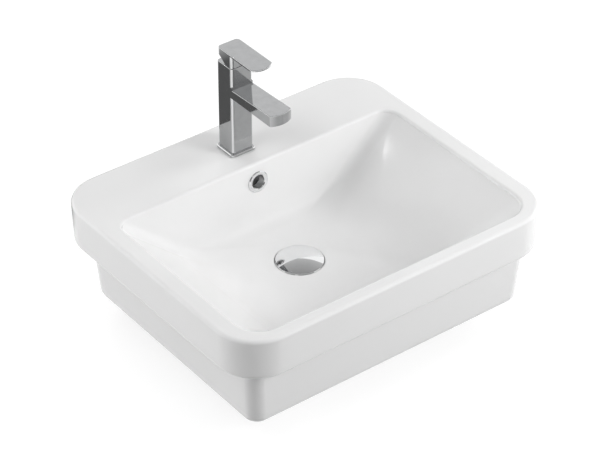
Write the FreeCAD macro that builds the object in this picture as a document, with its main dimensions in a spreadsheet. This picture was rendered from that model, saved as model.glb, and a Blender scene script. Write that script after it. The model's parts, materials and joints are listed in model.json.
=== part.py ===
"""Semi recessed basin with its single-lever tap and push-to-open waste.

Frame: +Z up, front towards -Y, tap at +Y, +X to the user's right. The origin is the centre of the rim in plan, on the
plane of the rim's underside, which is the plane that rests on the worktop. All sizes are millimetres and degrees.
"""

import FreeCAD, Part
import Sketcher
import math
import os

document = FreeCAD.newDocument("semi_recessed_basin")

# ---------------------------------------------------------------------------------------------------------------------
# Driving dimensions
# ---------------------------------------------------------------------------------------------------------------------

SIZES = {
    # rim: the slab that stands on the worktop
    "rim_length": 500.0,  # along X
    "rim_width": 420.0,  # along Y
    "rim_height": 62.0,  # underside to tap deck
    "rim_corner": 59.0,
    "rim_draft": 1.5,  # how much the side walls lean in from the deck to the underside
    "rim_top_round": 5.0,
    "rim_foot_round": 7.0,
    # skirt: the part that drops through the worktop
    "skirt_inset_side": 25.4,
    "skirt_inset_front": 21.4,
    "skirt_inset_back": 22.8,
    "skirt_depth": 90.0,
    "skirt_draft": 6.0,
    "skirt_corner": 35.0,
    "skirt_foot_round": 10.5,
    # ceramic walls
    "rim_wall": 11.0,
    "skirt_wall": 10.0,
    "bowl_wall": 10.0,
    "deck_thickness": 14.0,
    "foot_return": 26.0,  # how far the skirt's foot turns inwards
    "foot_height": 12.0,
    # bowl
    "bowl_side_margin": 26.5,  # deck beside the opening
    "bowl_front_margin": 20.0,  # deck before the opening
    "bowl_back_margin": 106.0,  # tap deck, behind the opening
    "bowl_front_corner": 35.0,
    "bowl_back_corner": 20.0,
    "bowl_lip": 5.0,  # the upright band below the opening's edge
    "bowl_lip_round": 4.0,
    "bowl_depth": 104.0,  # deck to the floor beside the waste
    "side_slope": 40.5,  # of the side walls, from the horizontal
    "front_slope": 60.0,
    "back_slope": 85.0,
    "floor_fall": 9.0,  # of the floor, from the foot of the walls to the flat around the waste
    "floor_half": 45.0,  # half the flat around the waste
    "floor_corner": 44.0,
    "turn_rise": 24.0,  # above the floor's edge, where the walls begin to turn into the floor
    "turn_share": 0.5,  # of the floor's run, where the turn ends
    # waste outlet in the ceramic
    "waste_back": 10.5,  # rim centre to the waste's axis, towards the back
    "recess_radius": 36.0,
    "recess_depth": 3.0,
    "waste_hole_radius": 23.0,
    "waste_boss_radius": 38.0,
    "waste_boss_height": 39.0,
    # overflow hole and its duct
    "overflow_depth": 28.4,  # deck to the hole's centre
    "overflow_hole_radius": 12.0,
    "duct_wall": 7.0,
    "duct_width": 26.0,
    "duct_gap": 11.0,
    # overflow ring and its sleeve
    "ring_radius": 15.5,
    "ring_bore_radius": 9.8,
    "ring_thickness": 2.2,
    "ring_neck_radius": 10.8,
    "ring_neck_length": 10.0,
    "sleeve_length": 12.5,
    "sleeve_clearance": 0.05,
    "hole_clearance": 0.3,
    # waste body
    "flange_radius": 32.5,
    "flange_thickness": 2.0,
    "flange_seal": 1.0,
    "flange_mouth_radius": 22.0,
    "funnel_depth": 7.0,
    "waste_thread_radius": 20.95,
    "waste_bore_radius": 18.0,
    "waste_groove_radius": 20.2,
    "waste_groove_height": 3.0,
    "waste_tail_length": 23.0,
    "slot_width": 14.0,
    "bridge_width": 8.0,
    "bridge_height": 8.0,
    "bridge_drop": 26.0,  # flange top to the bridge's top
    "bridge_hub_radius": 12.0,
    # seals and nut under the ceramic
    "washer_radius": 31.0,
    "washer_nose_radius": 25.0,
    "washer_foot": 2.0,
    "washer_height": 8.0,
    "slip_washer_height": 1.5,
    "back_nut_height": 10.0,
    "back_nut_across": 58.0,
    "thread_clearance": 0.1,
    # plug and click mechanism
    "cap_radius": 32.25,
    "cap_crown": 4.0,
    "cap_edge": 0.9,
    "cap_lift": 0.3,  # closed plug above the flange
    "cap_disc_radius": 21.5,
    "cap_disc_drop": 0.5,
    "cap_boss_radius": 6.5,
    "cap_boss_drop": 4.3,
    "cap_roof": 2.7,
    "plug_seal_radius": 20.3,
    "plug_seal_thickness": 2.2,
    "click_radius": 8.0,
    "click_bore_radius": 6.2,
    "click_wall": 2.0,
    "click_rise": 20.0,  # housing above its shoulder
    "click_drop": 20.0,  # housing below its shoulder
    "click_shoulder_radius": 10.5,
    "click_shoulder_height": 3.0,
    "click_nut_across": 22.0,
    "click_nut_height": 4.0,
    "stem_radius": 3.0,
    "piston_height": 3.0,
    "piston_drop": 12.0,  # housing floor to the closed piston's underside
    "stem_tail": 4.0,
    "spring_radius": 4.7,
    "spring_wire": 1.2,
    "spring_turns": 5.0,
    "running_clearance": 0.05,
    # tap deck and column
    "tap_margin": 59.5,  # rim's back edge to the tap's axis
    "tap_hole_radius": 17.5,
    "base_seal_size": 36.0,
    "base_seal_thickness": 0.8,
    "base_flange_size": 39.5,
    "base_flange_height": 3.0,
    "base_flange_corner": 6.0,
    "base_flange_bevel": 1.0,
    "column_width": 34.0,
    "column_depth": 33.0,
    "column_corner": 4.0,
    "column_height": 136.0,  # deck to the column's top
    "boss_radius": 16.0,
    "boss_lift": 0.4,  # deck to the boss's end, inside the seal
    "tap_edge_round": 0.6,  # of the column's top, the spout and the lever's plate
    # spout
    "spout_reach": 104.5,  # tap axis to the tip's middle
    "spout_tip_radius": 31.0,
    "spout_drop": 44.5,  # column top to the spout's underside
    "spout_root_height": 12.7,
    "spout_tip_height": 16.3,
    # waterways
    "inlet_spread": 6.2,
    "inlet_forward": 1.0,
    "inlet_thread_radius": 4.5,
    "inlet_thread_length": 12.0,
    "waterway_radius": 2.4,
    "outlet_forward": 6.5,
    "spout_channel_radius": 3.4,
    "spout_channel_rise": 6.0,  # spout underside to the channel's axis
    # aerator
    "aerator_set_back": 16.0,  # spout tip to the aerator's axis
    "aerator_hole_radius": 9.3,
    "aerator_hole_depth": 8.5,
    "aerator_wall": 1.3,
    "aerator_stand_out": 0.8,
    "aerator_seal_thickness": 1.5,
    "aerator_insert_height": 4.5,
    "aerator_jet_radius": 1.1,
    "aerator_jet_circle": 4.6,
    "aerator_jets": 8.0,
    # fixing under the deck
    "stud_radius": 4.0,
    "stud_back": 10.5,
    "stud_grip": 20.0,
    "stud_length": 72.0,
    "clamp_radius": 21.5,
    "clamp_mouth": 26.0,
    "clamp_mouth_back": 4.5,
    "rubber_washer_thickness": 2.5,
    "clamp_plate_thickness": 2.0,
    "stud_nut_across": 13.0,
    "stud_nut_height": 22.0,
    # cartridge
    "pocket_radius": 12.8,
    "pocket_depth": 32.0,
    "cartridge_radius": 12.7,
    "cartridge_seal_thickness": 1.0,
    "cartridge_base_height": 8.0,
    "fixed_disc_height": 3.0,
    "chamber_radius": 11.2,
    "disc_radius": 8.0,
    "disc_height": 5.0,
    "disc_rest_back": 1.6,
    "disc_socket_depth": 4.0,
    "disc_socket_radius": 2.6,
    "disc_gap": 0.02,
    "turret_gap": 0.2,
    "turret_flange_radius": 10.9,
    "turret_flange_height": 2.1,
    "turret_radius": 8.25,
    "turret_top": 8.5,  # above the pivot
    "turret_slot_back": 6.6,
    "turret_slot_front": 5.6,
    "roof_height": 3.5,
    "neck_radius": 10.2,
    "neck_height": 7.2,
    "pivot_drop": 8.0,  # column top to the lever's pivot
    "pin_radius": 1.25,
    "pin_length": 15.4,
    "nut_counterbore_radius": 14.5,
    "nut_counterbore_depth": 10.0,
    "cartridge_nut_height": 7.5,
    "cover_radius": 14.2,  # of the cover's ball, about the pivot
    "cover_flange_height": 1.5,
    "cover_opening_radius": 8.7,
    # spindle
    "spindle_width": 7.0,
    "spindle_depth": 5.0,
    "spindle_reach": 26.0,  # above the pivot
    "spindle_heel": 4.0,  # blade below the pivot
    "ball_radius": 2.4,
    "ball_drop": 8.5,
    "ball_neck_radius": 1.6,
    # lever
    "lever_height": 20.0,
    "lever_plate": 2.6,
    "lever_reach": 66.5,  # tap axis to the tip's middle
    "lever_tip_radius": 23.0,
    "lever_back": 15.5,
    "lever_back_corner": 6.0,
    "lever_gap": 1.0,  # column top to the block's underside
    "lever_ball_clearance": 0.3,
    "lever_bevel_front": 4.5,
    "lever_bevel_back": 9.5,
    "lever_bevel_rise": 9.5,
    "screw_radius": 2.5,
    "screw_length": 7.0,
    "screw_drop": 7.5,  # lever top to the screw's axis
    "plug_length": 2.8,
}

sheet = document.addObject("Spreadsheet::Sheet", "Size")
for row, (alias, size) in enumerate(SIZES.items(), start=1):
    sheet.set(f"A{row}", alias)
    sheet.set(f"B{row}", f"{size:g}")
    sheet.setAlias(f"B{row}", alias)
document.recompute()

# ---------------------------------------------------------------------------------------------------------------------
# Levels and places that more than one piece uses, as expressions over the sheet
# ---------------------------------------------------------------------------------------------------------------------

BOWL_HALF = "(Size.rim_length / 2 - Size.bowl_side_margin)"
BOWL_FRONT = "(Size.rim_width / 2 - Size.bowl_front_margin)"
BOWL_BACK = "(Size.rim_width / 2 - Size.bowl_back_margin)"
TAP_BACK = "(Size.rim_width / 2 - Size.tap_margin)"

DECK = "Size.rim_height"
FLOOR = f"({DECK} - Size.bowl_depth)"
RECESS = f"({FLOOR} - Size.recess_depth)"
BOSS_FOOT = f"({RECESS} - Size.waste_boss_height)"
FLANGE_TOP = f"({RECESS} + Size.flange_seal + Size.flange_thickness)"
WASHER_FOOT = f"({BOSS_FOOT} - Size.washer_height)"
SLIP_FOOT = f"({WASHER_FOOT} - Size.slip_washer_height)"
NUT_FOOT = f"({SLIP_FOOT} - Size.back_nut_height)"
GROOVE_TOP = f"({NUT_FOOT} - Size.running_clearance)"
TAIL_TOP = f"({GROOVE_TOP} - Size.waste_groove_height)"
TAIL_FOOT = f"({TAIL_TOP} - Size.waste_tail_length)"
BRIDGE_TOP = f"({FLANGE_TOP} - Size.bridge_drop)"
BRIDGE_FOOT = f"({BRIDGE_TOP} - Size.bridge_height)"
CAP_FOOT = f"({FLANGE_TOP} + Size.cap_lift)"
CAP_DISC = f"({CAP_FOOT} - Size.cap_disc_drop)"
CAP_SHOULDER = f"({CAP_FOOT} + Size.cap_edge)"
CAP_TOP = f"({CAP_SHOULDER} + Size.cap_crown)"
STEM_TOP = f"({CAP_TOP} - Size.cap_roof)"
CLICK_TOP = f"({BRIDGE_TOP} + Size.click_rise)"
CLICK_FOOT = f"({BRIDGE_TOP} - Size.click_drop)"
CLICK_FLOOR = f"({CLICK_FOOT} + Size.click_wall)"
PISTON_FOOT = f"({CLICK_FLOOR} + Size.piston_drop)"

OVERFLOW_LEVEL = f"({DECK} - Size.overflow_depth)"
OVERFLOW_WALL = f"({BOWL_BACK} - (Size.overflow_depth - Size.bowl_lip) / tan(Size.back_slope))"
# the hole's own axis is upright: this turn lays it into the back wall, square to the wall's slope
OVERFLOW_TURN = "Size.back_slope - 180"

BASE_FLANGE_FOOT = f"({DECK} + Size.base_seal_thickness)"
COLUMN_FOOT = f"({BASE_FLANGE_FOOT} + Size.base_flange_height)"
COLUMN_TOP = f"({DECK} + Size.column_height)"
BOSS_END = f"({DECK} + Size.boss_lift)"
DECK_UNDER = f"({DECK} - Size.deck_thickness)"
PLATE_TOP = f"({DECK_UNDER} - Size.rubber_washer_thickness)"
STUD_NUT_TOP = f"({PLATE_TOP} - Size.clamp_plate_thickness)"
SPOUT_UNDER = f"({COLUMN_TOP} - Size.spout_drop)"
CHANNEL_LEVEL = f"({SPOUT_UNDER} + Size.spout_channel_rise)"
AERATOR_ROOF = f"({SPOUT_UNDER} + Size.aerator_hole_depth)"
AERATOR_TOP = f"({AERATOR_ROOF} - Size.aerator_seal_thickness)"
AERATOR_FOOT = f"({SPOUT_UNDER} - Size.aerator_stand_out)"
AERATOR_RADIUS = "(Size.aerator_hole_radius - Size.running_clearance)"

POCKET_FLOOR = f"({COLUMN_TOP} - Size.pocket_depth)"
CARTRIDGE_FOOT = f"({POCKET_FLOOR} + Size.cartridge_seal_thickness)"
FIXED_DISC_FOOT = f"({CARTRIDGE_FOOT} + Size.cartridge_base_height)"
FIXED_DISC_TOP = f"({FIXED_DISC_FOOT} + Size.fixed_disc_height)"
DISC_FOOT = f"({FIXED_DISC_TOP} + Size.disc_gap)"
DISC_TOP = f"({DISC_FOOT} + Size.disc_height)"
TURRET_FOOT = f"({DISC_TOP} + Size.turret_gap)"
TURRET_SHOULDER = f"({TURRET_FOOT} + Size.turret_flange_height)"
ROOF = f"({TURRET_SHOULDER} + Size.turret_gap)"
SHOULDER = f"({ROOF} + Size.roof_height)"
PIVOT = f"({COLUMN_TOP} - Size.pivot_drop)"
TURRET_TOP = f"({PIVOT} + Size.turret_top)"
NUT_TOP = f"({SHOULDER} + Size.cartridge_nut_height)"
BALL = f"({PIVOT} - Size.ball_drop)"
SPINDLE_TOP = f"({PIVOT} + Size.spindle_reach)"
LEVER_FOOT = f"({COLUMN_TOP} + Size.lever_gap)"
LEVER_TOP = f"({LEVER_FOOT} + Size.lever_height)"
SCREW_LEVEL = f"({LEVER_TOP} - Size.screw_drop)"

WASTE_AXIS = ("0", "Size.waste_back", "0")
TAP_AXIS = ("0", TAP_BACK, "0")
AERATOR_REACH = "(Size.spout_reach - Size.aerator_set_back)"
AERATOR_AXIS = ("0", f"({TAP_BACK} - {AERATOR_REACH})", "0")

# ---------------------------------------------------------------------------------------------------------------------
# Ways of making a feature
# ---------------------------------------------------------------------------------------------------------------------


def number(expression):
    """The number that an expression over the sheet gives."""
    return float(sheet.evalExpression(expression))


def new_body(name, place=None):
    """A sub-part whose own origin lies at place, three expressions."""
    body = document.addObject("PartDesign::Body", name)
    body.Label = name
    for axis, expression in zip("xyz", place or ()):
        body.setExpression(f"Placement.Base.{axis}", expression)
    return body


def sketch_on(body, role, offset=None):
    """A sketch on one of the body's own origin planes, moved along the plane's normal by offset."""
    sketch = body.newObject("Sketcher::SketchObject", "Sketch")
    plane = next(item for item in body.Origin.OriginFeatures if item.Role == role)
    sketch.AttachmentSupport = (plane, [""])
    sketch.MapMode = "FlatFace"
    if offset:
        sketch.setExpression("AttachmentOffset.Base.z", offset)
    return sketch


def hold(sketch, edge, point, across, up):
    """Fix a point of an edge, 1 its start and 2 its end, at two expressions from the sketch's origin.

    A point that has no distance from the sketch's vertical axis (-2) or horizontal axis (-1) is laid on it.
    """
    for kind, expression, axis in (("DistanceX", across, -2), ("DistanceY", up, -1)):
        distance = number(expression)
        if abs(distance) < 1e-9:
            sketch.addConstraint(Sketcher.Constraint("PointOnObject", edge, point, axis))
        else:
            held = sketch.addConstraint(Sketcher.Constraint(kind, -1, 1, edge, point, distance))
            sketch.setExpression(f"Constraints[{held}]", expression)


def arc_between(start, end, radius):
    """The shallow arc from start to end. A positive radius bulges to the right of the way from start to end."""
    chord = end - start
    sagitta = abs(radius) - math.sqrt(radius**2 - (chord.Length / 2) ** 2)
    aside = FreeCAD.Vector(chord.y, -chord.x, 0).normalize() * math.copysign(sagitta, radius)
    return Part.Arc(start, start + chord / 2 + aside, end)


def outline(sketch, corners, arcs=None):
    """A closed outline through corners, pairs of expressions. arcs gives the radius of the edges that are round."""
    arcs = arcs or {}
    spots = [FreeCAD.Vector(number(across), number(up), 0) for across, up in corners]
    count = len(spots)
    for edge, start in enumerate(spots):
        end = spots[(edge + 1) % count]
        shape = arc_between(start, end, number(arcs[edge])) if edge in arcs else Part.LineSegment(start, end)
        sketch.addGeometry(shape, False)
    # an arc is stored anticlockwise, so its own start may be the outline's end
    first = [1 if (sketch.Geometry[i].StartPoint - spots[i]).Length < 1e-6 else 2 for i in range(count)]
    for edge in range(count):
        following = (edge + 1) % count
        joined = Sketcher.Constraint("Coincident", edge, 3 - first[edge], following, first[following])
        sketch.addConstraint(joined)
    for edge, (across, up) in enumerate(corners):
        hold(sketch, edge, first[edge], across, up)
    for edge, radius in arcs.items():
        held = sketch.addConstraint(Sketcher.Constraint("Radius", edge, abs(number(radius))))
        sketch.setExpression(f"Constraints[{held}]", f"abs({radius})")
    return sketch


def rounded_rectangle(sketch, half, low, high, low_corner, high_corner):
    """A rounded rectangle from -half to half across and from low to high up, with its own radius at each end."""
    side, bottom, top = number(half), number(low), number(high)
    low_radius, high_radius = number(low_corner), number(high_corner)
    vector = FreeCAD.Vector

    def corner(across, up, radius, start):
        circle = Part.Circle(vector(across, up, 0), vector(0, 0, 1), radius)
        return Part.ArcOfCircle(circle, math.radians(start), math.radians(start + 90))

    pieces = [
        Part.LineSegment(vector(-side + low_radius, bottom, 0), vector(side - low_radius, bottom, 0)),
        corner(side - low_radius, bottom + low_radius, low_radius, 270),
        Part.LineSegment(vector(side, bottom + low_radius, 0), vector(side, top - high_radius, 0)),
        corner(side - high_radius, top - high_radius, high_radius, 0),
        Part.LineSegment(vector(side - high_radius, top, 0), vector(-side + high_radius, top, 0)),
        corner(-side + high_radius, top - high_radius, high_radius, 90),
        Part.LineSegment(vector(-side, top - high_radius, 0), vector(-side, bottom + low_radius, 0)),
        corner(-side + low_radius, bottom + low_radius, low_radius, 180),
    ]
    sketch.addGeometry(pieces, False)
    for edge in range(8):
        sketch.addConstraint(Sketcher.Constraint("Tangent", edge, 2, (edge + 1) % 8, 1))
    for edge, kind in ((0, "Horizontal"), (2, "Vertical"), (4, "Horizontal"), (6, "Vertical")):
        sketch.addConstraint(Sketcher.Constraint(kind, edge))
    for kind, edge, expression in (
        ("DistanceX", 2, half),
        ("DistanceX", 6, f"-1 * ({half})"),
        ("DistanceY", 0, low),
        ("DistanceY", 4, high),
    ):
        held = sketch.addConstraint(Sketcher.Constraint(kind, -1, 1, edge, 1, number(expression)))
        sketch.setExpression(f"Constraints[{held}]", expression)
    for edge, expression in ((1, low_corner), (3, high_corner), (5, high_corner), (7, low_corner)):
        held = sketch.addConstraint(Sketcher.Constraint("Radius", edge, number(expression)))
        sketch.setExpression(f"Constraints[{held}]", expression)
    return sketch


def pad(body, sketch, length, symmetric=False):
    """Raise a sketch along its normal by length, or to both sides by half of it."""
    feature = body.newObject("PartDesign::Pad", "Pad")
    feature.Profile = sketch
    feature.setExpression("Length", length)
    if symmetric:
        feature.SideType = "Symmetric"
    return feature


def cut_through(body, sketch, length):
    """Cut a sketch out of the body to both sides of its plane, over length in all."""
    feature = body.newObject("PartDesign::Pocket", "Pocket")
    feature.Profile = sketch
    feature.setExpression("Length", length)
    feature.SideType = "Symmetric"
    return feature


def cut_up(body, sketch, length):
    """Cut a sketch out of the body along its normal."""
    feature = body.newObject("PartDesign::Pocket", "Pocket")
    feature.Profile = sketch
    feature.Reversed = True
    feature.setExpression("Length", length)
    return feature


def loft(body, kind, sketches):
    """A loft through sketches, added to the body or taken from it."""
    feature = body.newObject(f"PartDesign::{kind}Loft", "Loft")
    feature.Profile = sketches[0]
    feature.Sections = [(sketch, [""]) for sketch in sketches[1:]]
    return feature


def turned(name, corners, place, arcs=None):
    """A body turned about its own Z axis from half of its section."""
    body = new_body(name, place)
    sketch = outline(sketch_on(body, "XZ_Plane"), corners, arcs)
    feature = body.newObject("PartDesign::Revolution", "Revolution")
    feature.Profile = sketch
    feature.ReferenceAxis = (sketch, ["V_Axis"])
    return body


def primitive(body, kind, sizes, at, turn=None):
    """A box, cylinder, ball or prism that is added to the body or taken from it, at three expressions."""
    feature = body.newObject(f"PartDesign::{kind}", kind)
    for name, expression in sizes.items():
        feature.setExpression(name, expression)
    if turn:
        axis, angle = turn
        feature.Placement = FreeCAD.Placement(FreeCAD.Vector(), FreeCAD.Rotation(FreeCAD.Vector(*axis), 0))
        feature.setExpression("Placement.Rotation.Angle", angle)
    for axis, expression in zip("xyz", at):
        feature.setExpression(f"Placement.Base.{axis}", expression)
    return feature


def drill(body, radius, foot, top, across="0", back="0"):
    """An upright round hole between two levels."""
    return primitive(
        body, "SubtractiveCylinder", {"Radius": radius, "Height": f"{top} - ({foot})"}, (across, back, foot)
    )


def block(body, kind, width, front, back, foot, top, centre="0"):
    """A box across the width about centre, from front to back and from foot to top, added or taken away."""
    sizes = {"Length": width, "Width": f"{back} - ({front})", "Height": f"{top} - ({foot})"}
    return primitive(body, f"{kind}Box", sizes, (f"{centre} - ({width}) / 2", front, foot))


def ring(name, inner, outer, foot, top, place):
    """A plain ring."""
    return turned(name, [(inner, foot), (outer, foot), (outer, top), (inner, top)], place)


def hexagon_nut(name, across, bore, foot, top, place):
    """A hexagonal nut."""
    body = new_body(name, place)
    primitive(
        body,
        "AdditivePrism",
        {"Circumradius": f"{across} / (2 * cos(30))", "Height": f"{top} - ({foot})"},
        ("0", "0", foot),
    )
    drill(body, bore, foot, top)
    return body


def dress_edges(body, kind, sizes, wanted):
    """Round or bevel the edges of the body's last feature that wanted picks."""
    document.recompute()
    base = body.Tip
    names = [f"Edge{i}" for i, edge in enumerate(base.Shape.Edges, start=1) if wanted(edge)]
    if not names:
        raise RuntimeError(f"{body.Label}: no edge to dress")
    feature = body.newObject(f"PartDesign::{kind}", kind)
    feature.Base = (base, names)
    for name, expression in sizes.items():
        feature.setExpression(name, expression)
    return feature


def round_edges(body, radius, wanted):
    """Round the edges of the body's last feature that wanted picks."""
    return dress_edges(body, "Fillet", {"Radius": radius}, wanted)


def lies_at(edge, level):
    """Whether an edge is flat and lies at a level."""
    return abs(edge.BoundBox.ZMin - level) < 0.01 and abs(edge.BoundBox.ZMax - level) < 0.01


# ---------------------------------------------------------------------------------------------------------------------
# The ceramic
# ---------------------------------------------------------------------------------------------------------------------

# where along the turn from the walls to the floor the bowl's outline is drawn
TURN_STEPS = (0, 0.25, 0.5, 0.75, 1)


def bowl_stations(skin):
    """The bowl's outlines, each as a rise above the floor's edge along the walls and a share of the floor's run.

    Between the walls and the floor the two are mixed so that the section is a parabola that meets both smoothly.
    """
    turn = [(f"(1 - {step})^2 * Size.turn_rise", f"({step}^2 * Size.turn_share)") for step in TURN_STEPS]
    return [(f"(Size.bowl_depth - Size.bowl_lip - Size.floor_fall + {skin})", "0"), *turn, ("0", "1")]


def bowl_section(body, station, skin):
    """The bowl's outline at a station, set out by a skin of ceramic, square to the walls and to the floor."""
    rise, share = station
    wall_height = "(Size.bowl_depth - Size.bowl_lip - Size.floor_fall)"

    def wall(edge, slope, flat):
        foot = f"({edge} - {wall_height} / tan({slope}) + {skin} / sin({slope}) - {skin} / tan({slope}))"
        return f"({foot} + {rise} / tan({slope}) - {share} * ({foot} - ({flat})))"

    side = wall(BOWL_HALF, "Size.side_slope", "Size.floor_half")
    front = wall(BOWL_FRONT, "Size.front_slope", "Size.floor_half - Size.waste_back")
    back = wall(BOWL_BACK, "Size.back_slope", "Size.waste_back + Size.floor_half")
    corners = [
        f"({corner} + (Size.floor_corner - {corner}) * {share})"
        for corner in (f"(Size.bowl_front_corner + {skin})", f"(Size.bowl_back_corner + {skin})")
    ]
    level = f"{FLOOR} + Size.floor_fall + {rise} - {share} * Size.floor_fall - {skin}"
    return rounded_rectangle(sketch_on(body, "XY_Plane", level), side, f"-1 * {front}", back, *corners)


def bowl_lofts(body, kind, skin):
    """The straight walls, the turn and the floor, added to the body or taken from it. Returns the top outline."""
    lip, *turn, flat = [bowl_section(body, station, skin) for station in bowl_stations(skin)]
    loft(body, kind, [lip, turn[0]])
    loft(body, kind, turn)
    loft(body, kind, [turn[-1], flat])
    return lip


def rim_section(body, level, inset, corner):
    """The rim's outline, drawn in by inset."""
    half_width = f"(Size.rim_width / 2 - {inset})"
    sketch = sketch_on(body, "XY_Plane", level)
    return rounded_rectangle(
        sketch, f"Size.rim_length / 2 - {inset}", f"-1 * {half_width}", half_width, corner, corner
    )


def skirt_section(body, level, inset, corner):
    """The skirt's outline, drawn in by inset."""
    half = f"Size.rim_length / 2 - Size.skirt_inset_side - ({inset})"
    front = f"-1 * (Size.rim_width / 2 - Size.skirt_inset_front - ({inset}))"
    back = f"Size.rim_width / 2 - Size.skirt_inset_back - ({inset})"
    return rounded_rectangle(sketch_on(body, "XY_Plane", level), half, front, back, corner, corner)


def make_basin():
    """The ceramic: rim, skirt, hollow underside, bowl, waste outlet, overflow duct and tap deck."""
    body = new_body("basin")
    foot = "-1 * Size.skirt_depth"
    loft(
        body,
        "Additive",
        [
            rim_section(body, None, "Size.rim_draft", "Size.rim_corner - Size.rim_draft"),
            rim_section(body, DECK, "0", "Size.rim_corner"),
        ],
    )
    round_edges(body, "Size.rim_top_round", lambda edge: lies_at(edge, number(DECK)))
    round_edges(body, "Size.rim_foot_round", lambda edge: lies_at(edge, 0))
    loft(
        body,
        "Additive",
        [
            skirt_section(body, None, "0", "Size.skirt_corner"),
            skirt_section(body, foot, "Size.skirt_draft", "Size.skirt_corner"),
        ],
    )
    round_edges(body, "Size.skirt_foot_round", lambda edge: lies_at(edge, number(foot)))

    # the hollow underside: through the foot, inside the skirt, and up inside the rim
    inner_corner = "Size.skirt_corner - Size.skirt_wall"
    foot_top = "Size.foot_height - Size.skirt_depth"
    in_foot = "Size.skirt_draft + Size.foot_return"
    in_wall = "Size.skirt_wall + Size.skirt_draft"
    rim_inner_corner = "Size.rim_corner - Size.rim_wall"
    hollows = (
        (skirt_section, foot, in_foot, foot_top, in_foot, inner_corner),
        (skirt_section, foot_top, in_wall, "Size.rim_wall", "Size.skirt_wall", inner_corner),
        (rim_section, "Size.rim_wall", "Size.rim_wall", DECK_UNDER, "Size.rim_wall", rim_inner_corner),
    )
    for section, low, low_inset, high, high_inset, corner in hollows:
        loft(body, "Subtractive", [section(body, low, low_inset, corner), section(body, high, high_inset, corner)])

    # the bowl's shell, the waste boss and the overflow duct stand in that hollow
    bowl_lofts(body, "Additive", "Size.bowl_wall")
    primitive(
        body,
        "AdditiveCylinder",
        {"Radius": "Size.waste_boss_radius", "Height": "Size.waste_boss_height"},
        ("0", "Size.waste_back", BOSS_FOOT),
    )
    duct_front = f"{BOWL_BACK} + Size.bowl_wall"
    duct_back = f"{duct_front} + Size.duct_gap"
    duct_outer = "Size.duct_width + 2 * Size.duct_wall"
    duct_floor = f"{BOSS_FOOT} + Size.duct_wall"
    block(body, "Additive", duct_outer, BOWL_BACK, f"{duct_back} + Size.duct_wall", BOSS_FOOT, DECK_UNDER)
    block(
        body,
        "Additive",
        duct_outer,
        "Size.waste_back",
        f"{duct_back} + Size.duct_wall",
        BOSS_FOOT,
        f"{duct_floor} + Size.duct_gap + Size.duct_wall",
    )

    # the bowl itself, its upright lip and the holes
    lip = bowl_lofts(body, "Subtractive", "0")
    cut_up(body, lip, "Size.bowl_lip")
    drill(body, "Size.recess_radius", RECESS, FLOOR, back="Size.waste_back")
    drill(body, "Size.waste_hole_radius", BOSS_FOOT, RECESS, back="Size.waste_back")
    drill(body, "Size.tap_hole_radius", DECK_UNDER, DECK, back=TAP_BACK)
    duct_top = f"{DECK_UNDER} - Size.rim_top_round"
    block(body, "Subtractive", "Size.duct_width", duct_front, duct_back, duct_floor, duct_top)
    block(
        body,
        "Subtractive",
        "Size.duct_width",
        "Size.waste_back",
        duct_back,
        duct_floor,
        f"{duct_floor} + Size.duct_gap",
    )
    primitive(
        body,
        "SubtractiveCylinder",
        {"Radius": "Size.overflow_hole_radius", "Height": "Size.bowl_wall + Size.duct_gap"},
        (
            "0",
            f"{OVERFLOW_WALL} - Size.bowl_wall / 2 * sin(Size.back_slope)",
            f"{OVERFLOW_LEVEL} + Size.bowl_wall / 2 * cos(Size.back_slope)",
        ),
        turn=((1, 0, 0), OVERFLOW_TURN),
    )
    round_edges(body, "Size.bowl_lip_round", is_bowl_edge)
    return body


def is_bowl_edge(edge):
    """Whether an edge is part of the bowl's opening in the deck."""
    if not lies_at(edge, number(DECK)):
        return False
    middle = edge.valueAt((edge.FirstParameter + edge.LastParameter) / 2)
    inside_sides = abs(middle.x) < number(BOWL_HALF) + 0.5
    return inside_sides and -number(BOWL_FRONT) - 0.5 < middle.y < number(BOWL_BACK) + 0.5


# ---------------------------------------------------------------------------------------------------------------------
# Overflow trim
# ---------------------------------------------------------------------------------------------------------------------


def laid_in_wall(body):
    """Lay a piece that is turned about its own Z axis into the overflow hole."""
    body.Placement = FreeCAD.Placement(FreeCAD.Vector(), FreeCAD.Rotation(FreeCAD.Vector(1, 0, 0), 0))
    body.setExpression("Placement.Rotation.Angle", OVERFLOW_TURN)
    body.setExpression("Placement.Base.y", OVERFLOW_WALL)
    body.setExpression("Placement.Base.z", OVERFLOW_LEVEL)


def make_overflow_trim():
    """The ring in the back wall, with a neck in a plastic sleeve. Their Z axis runs into the wall."""
    flange_foot = "-1 * (Size.ring_thickness + Size.running_clearance)"
    flange_top = "-1 * Size.running_clearance"
    lip = "Size.ring_thickness / 2"
    collar = turned(
        "overflow_ring",
        [
            ("Size.ring_bore_radius + 1", flange_foot),
            (f"Size.ring_radius - {lip}", flange_foot),
            ("Size.ring_radius", f"{flange_foot} + {lip}"),
            ("Size.ring_radius", flange_top),
            ("Size.ring_neck_radius", flange_top),
            ("Size.ring_neck_radius", "Size.ring_neck_length"),
            ("Size.ring_bore_radius", "Size.ring_neck_length"),
            ("Size.ring_bore_radius", f"{flange_foot} + 1"),
        ],
        None,
    )
    laid_in_wall(collar)
    sleeve_inner = "Size.ring_neck_radius + Size.sleeve_clearance"
    sleeve_outer = "Size.overflow_hole_radius - Size.sleeve_clearance"
    sleeve = ring("overflow_sleeve", sleeve_inner, sleeve_outer, "0", "Size.sleeve_length", None)
    laid_in_wall(sleeve)
    return [collar, sleeve]


# ---------------------------------------------------------------------------------------------------------------------
# Waste
# ---------------------------------------------------------------------------------------------------------------------


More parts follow.
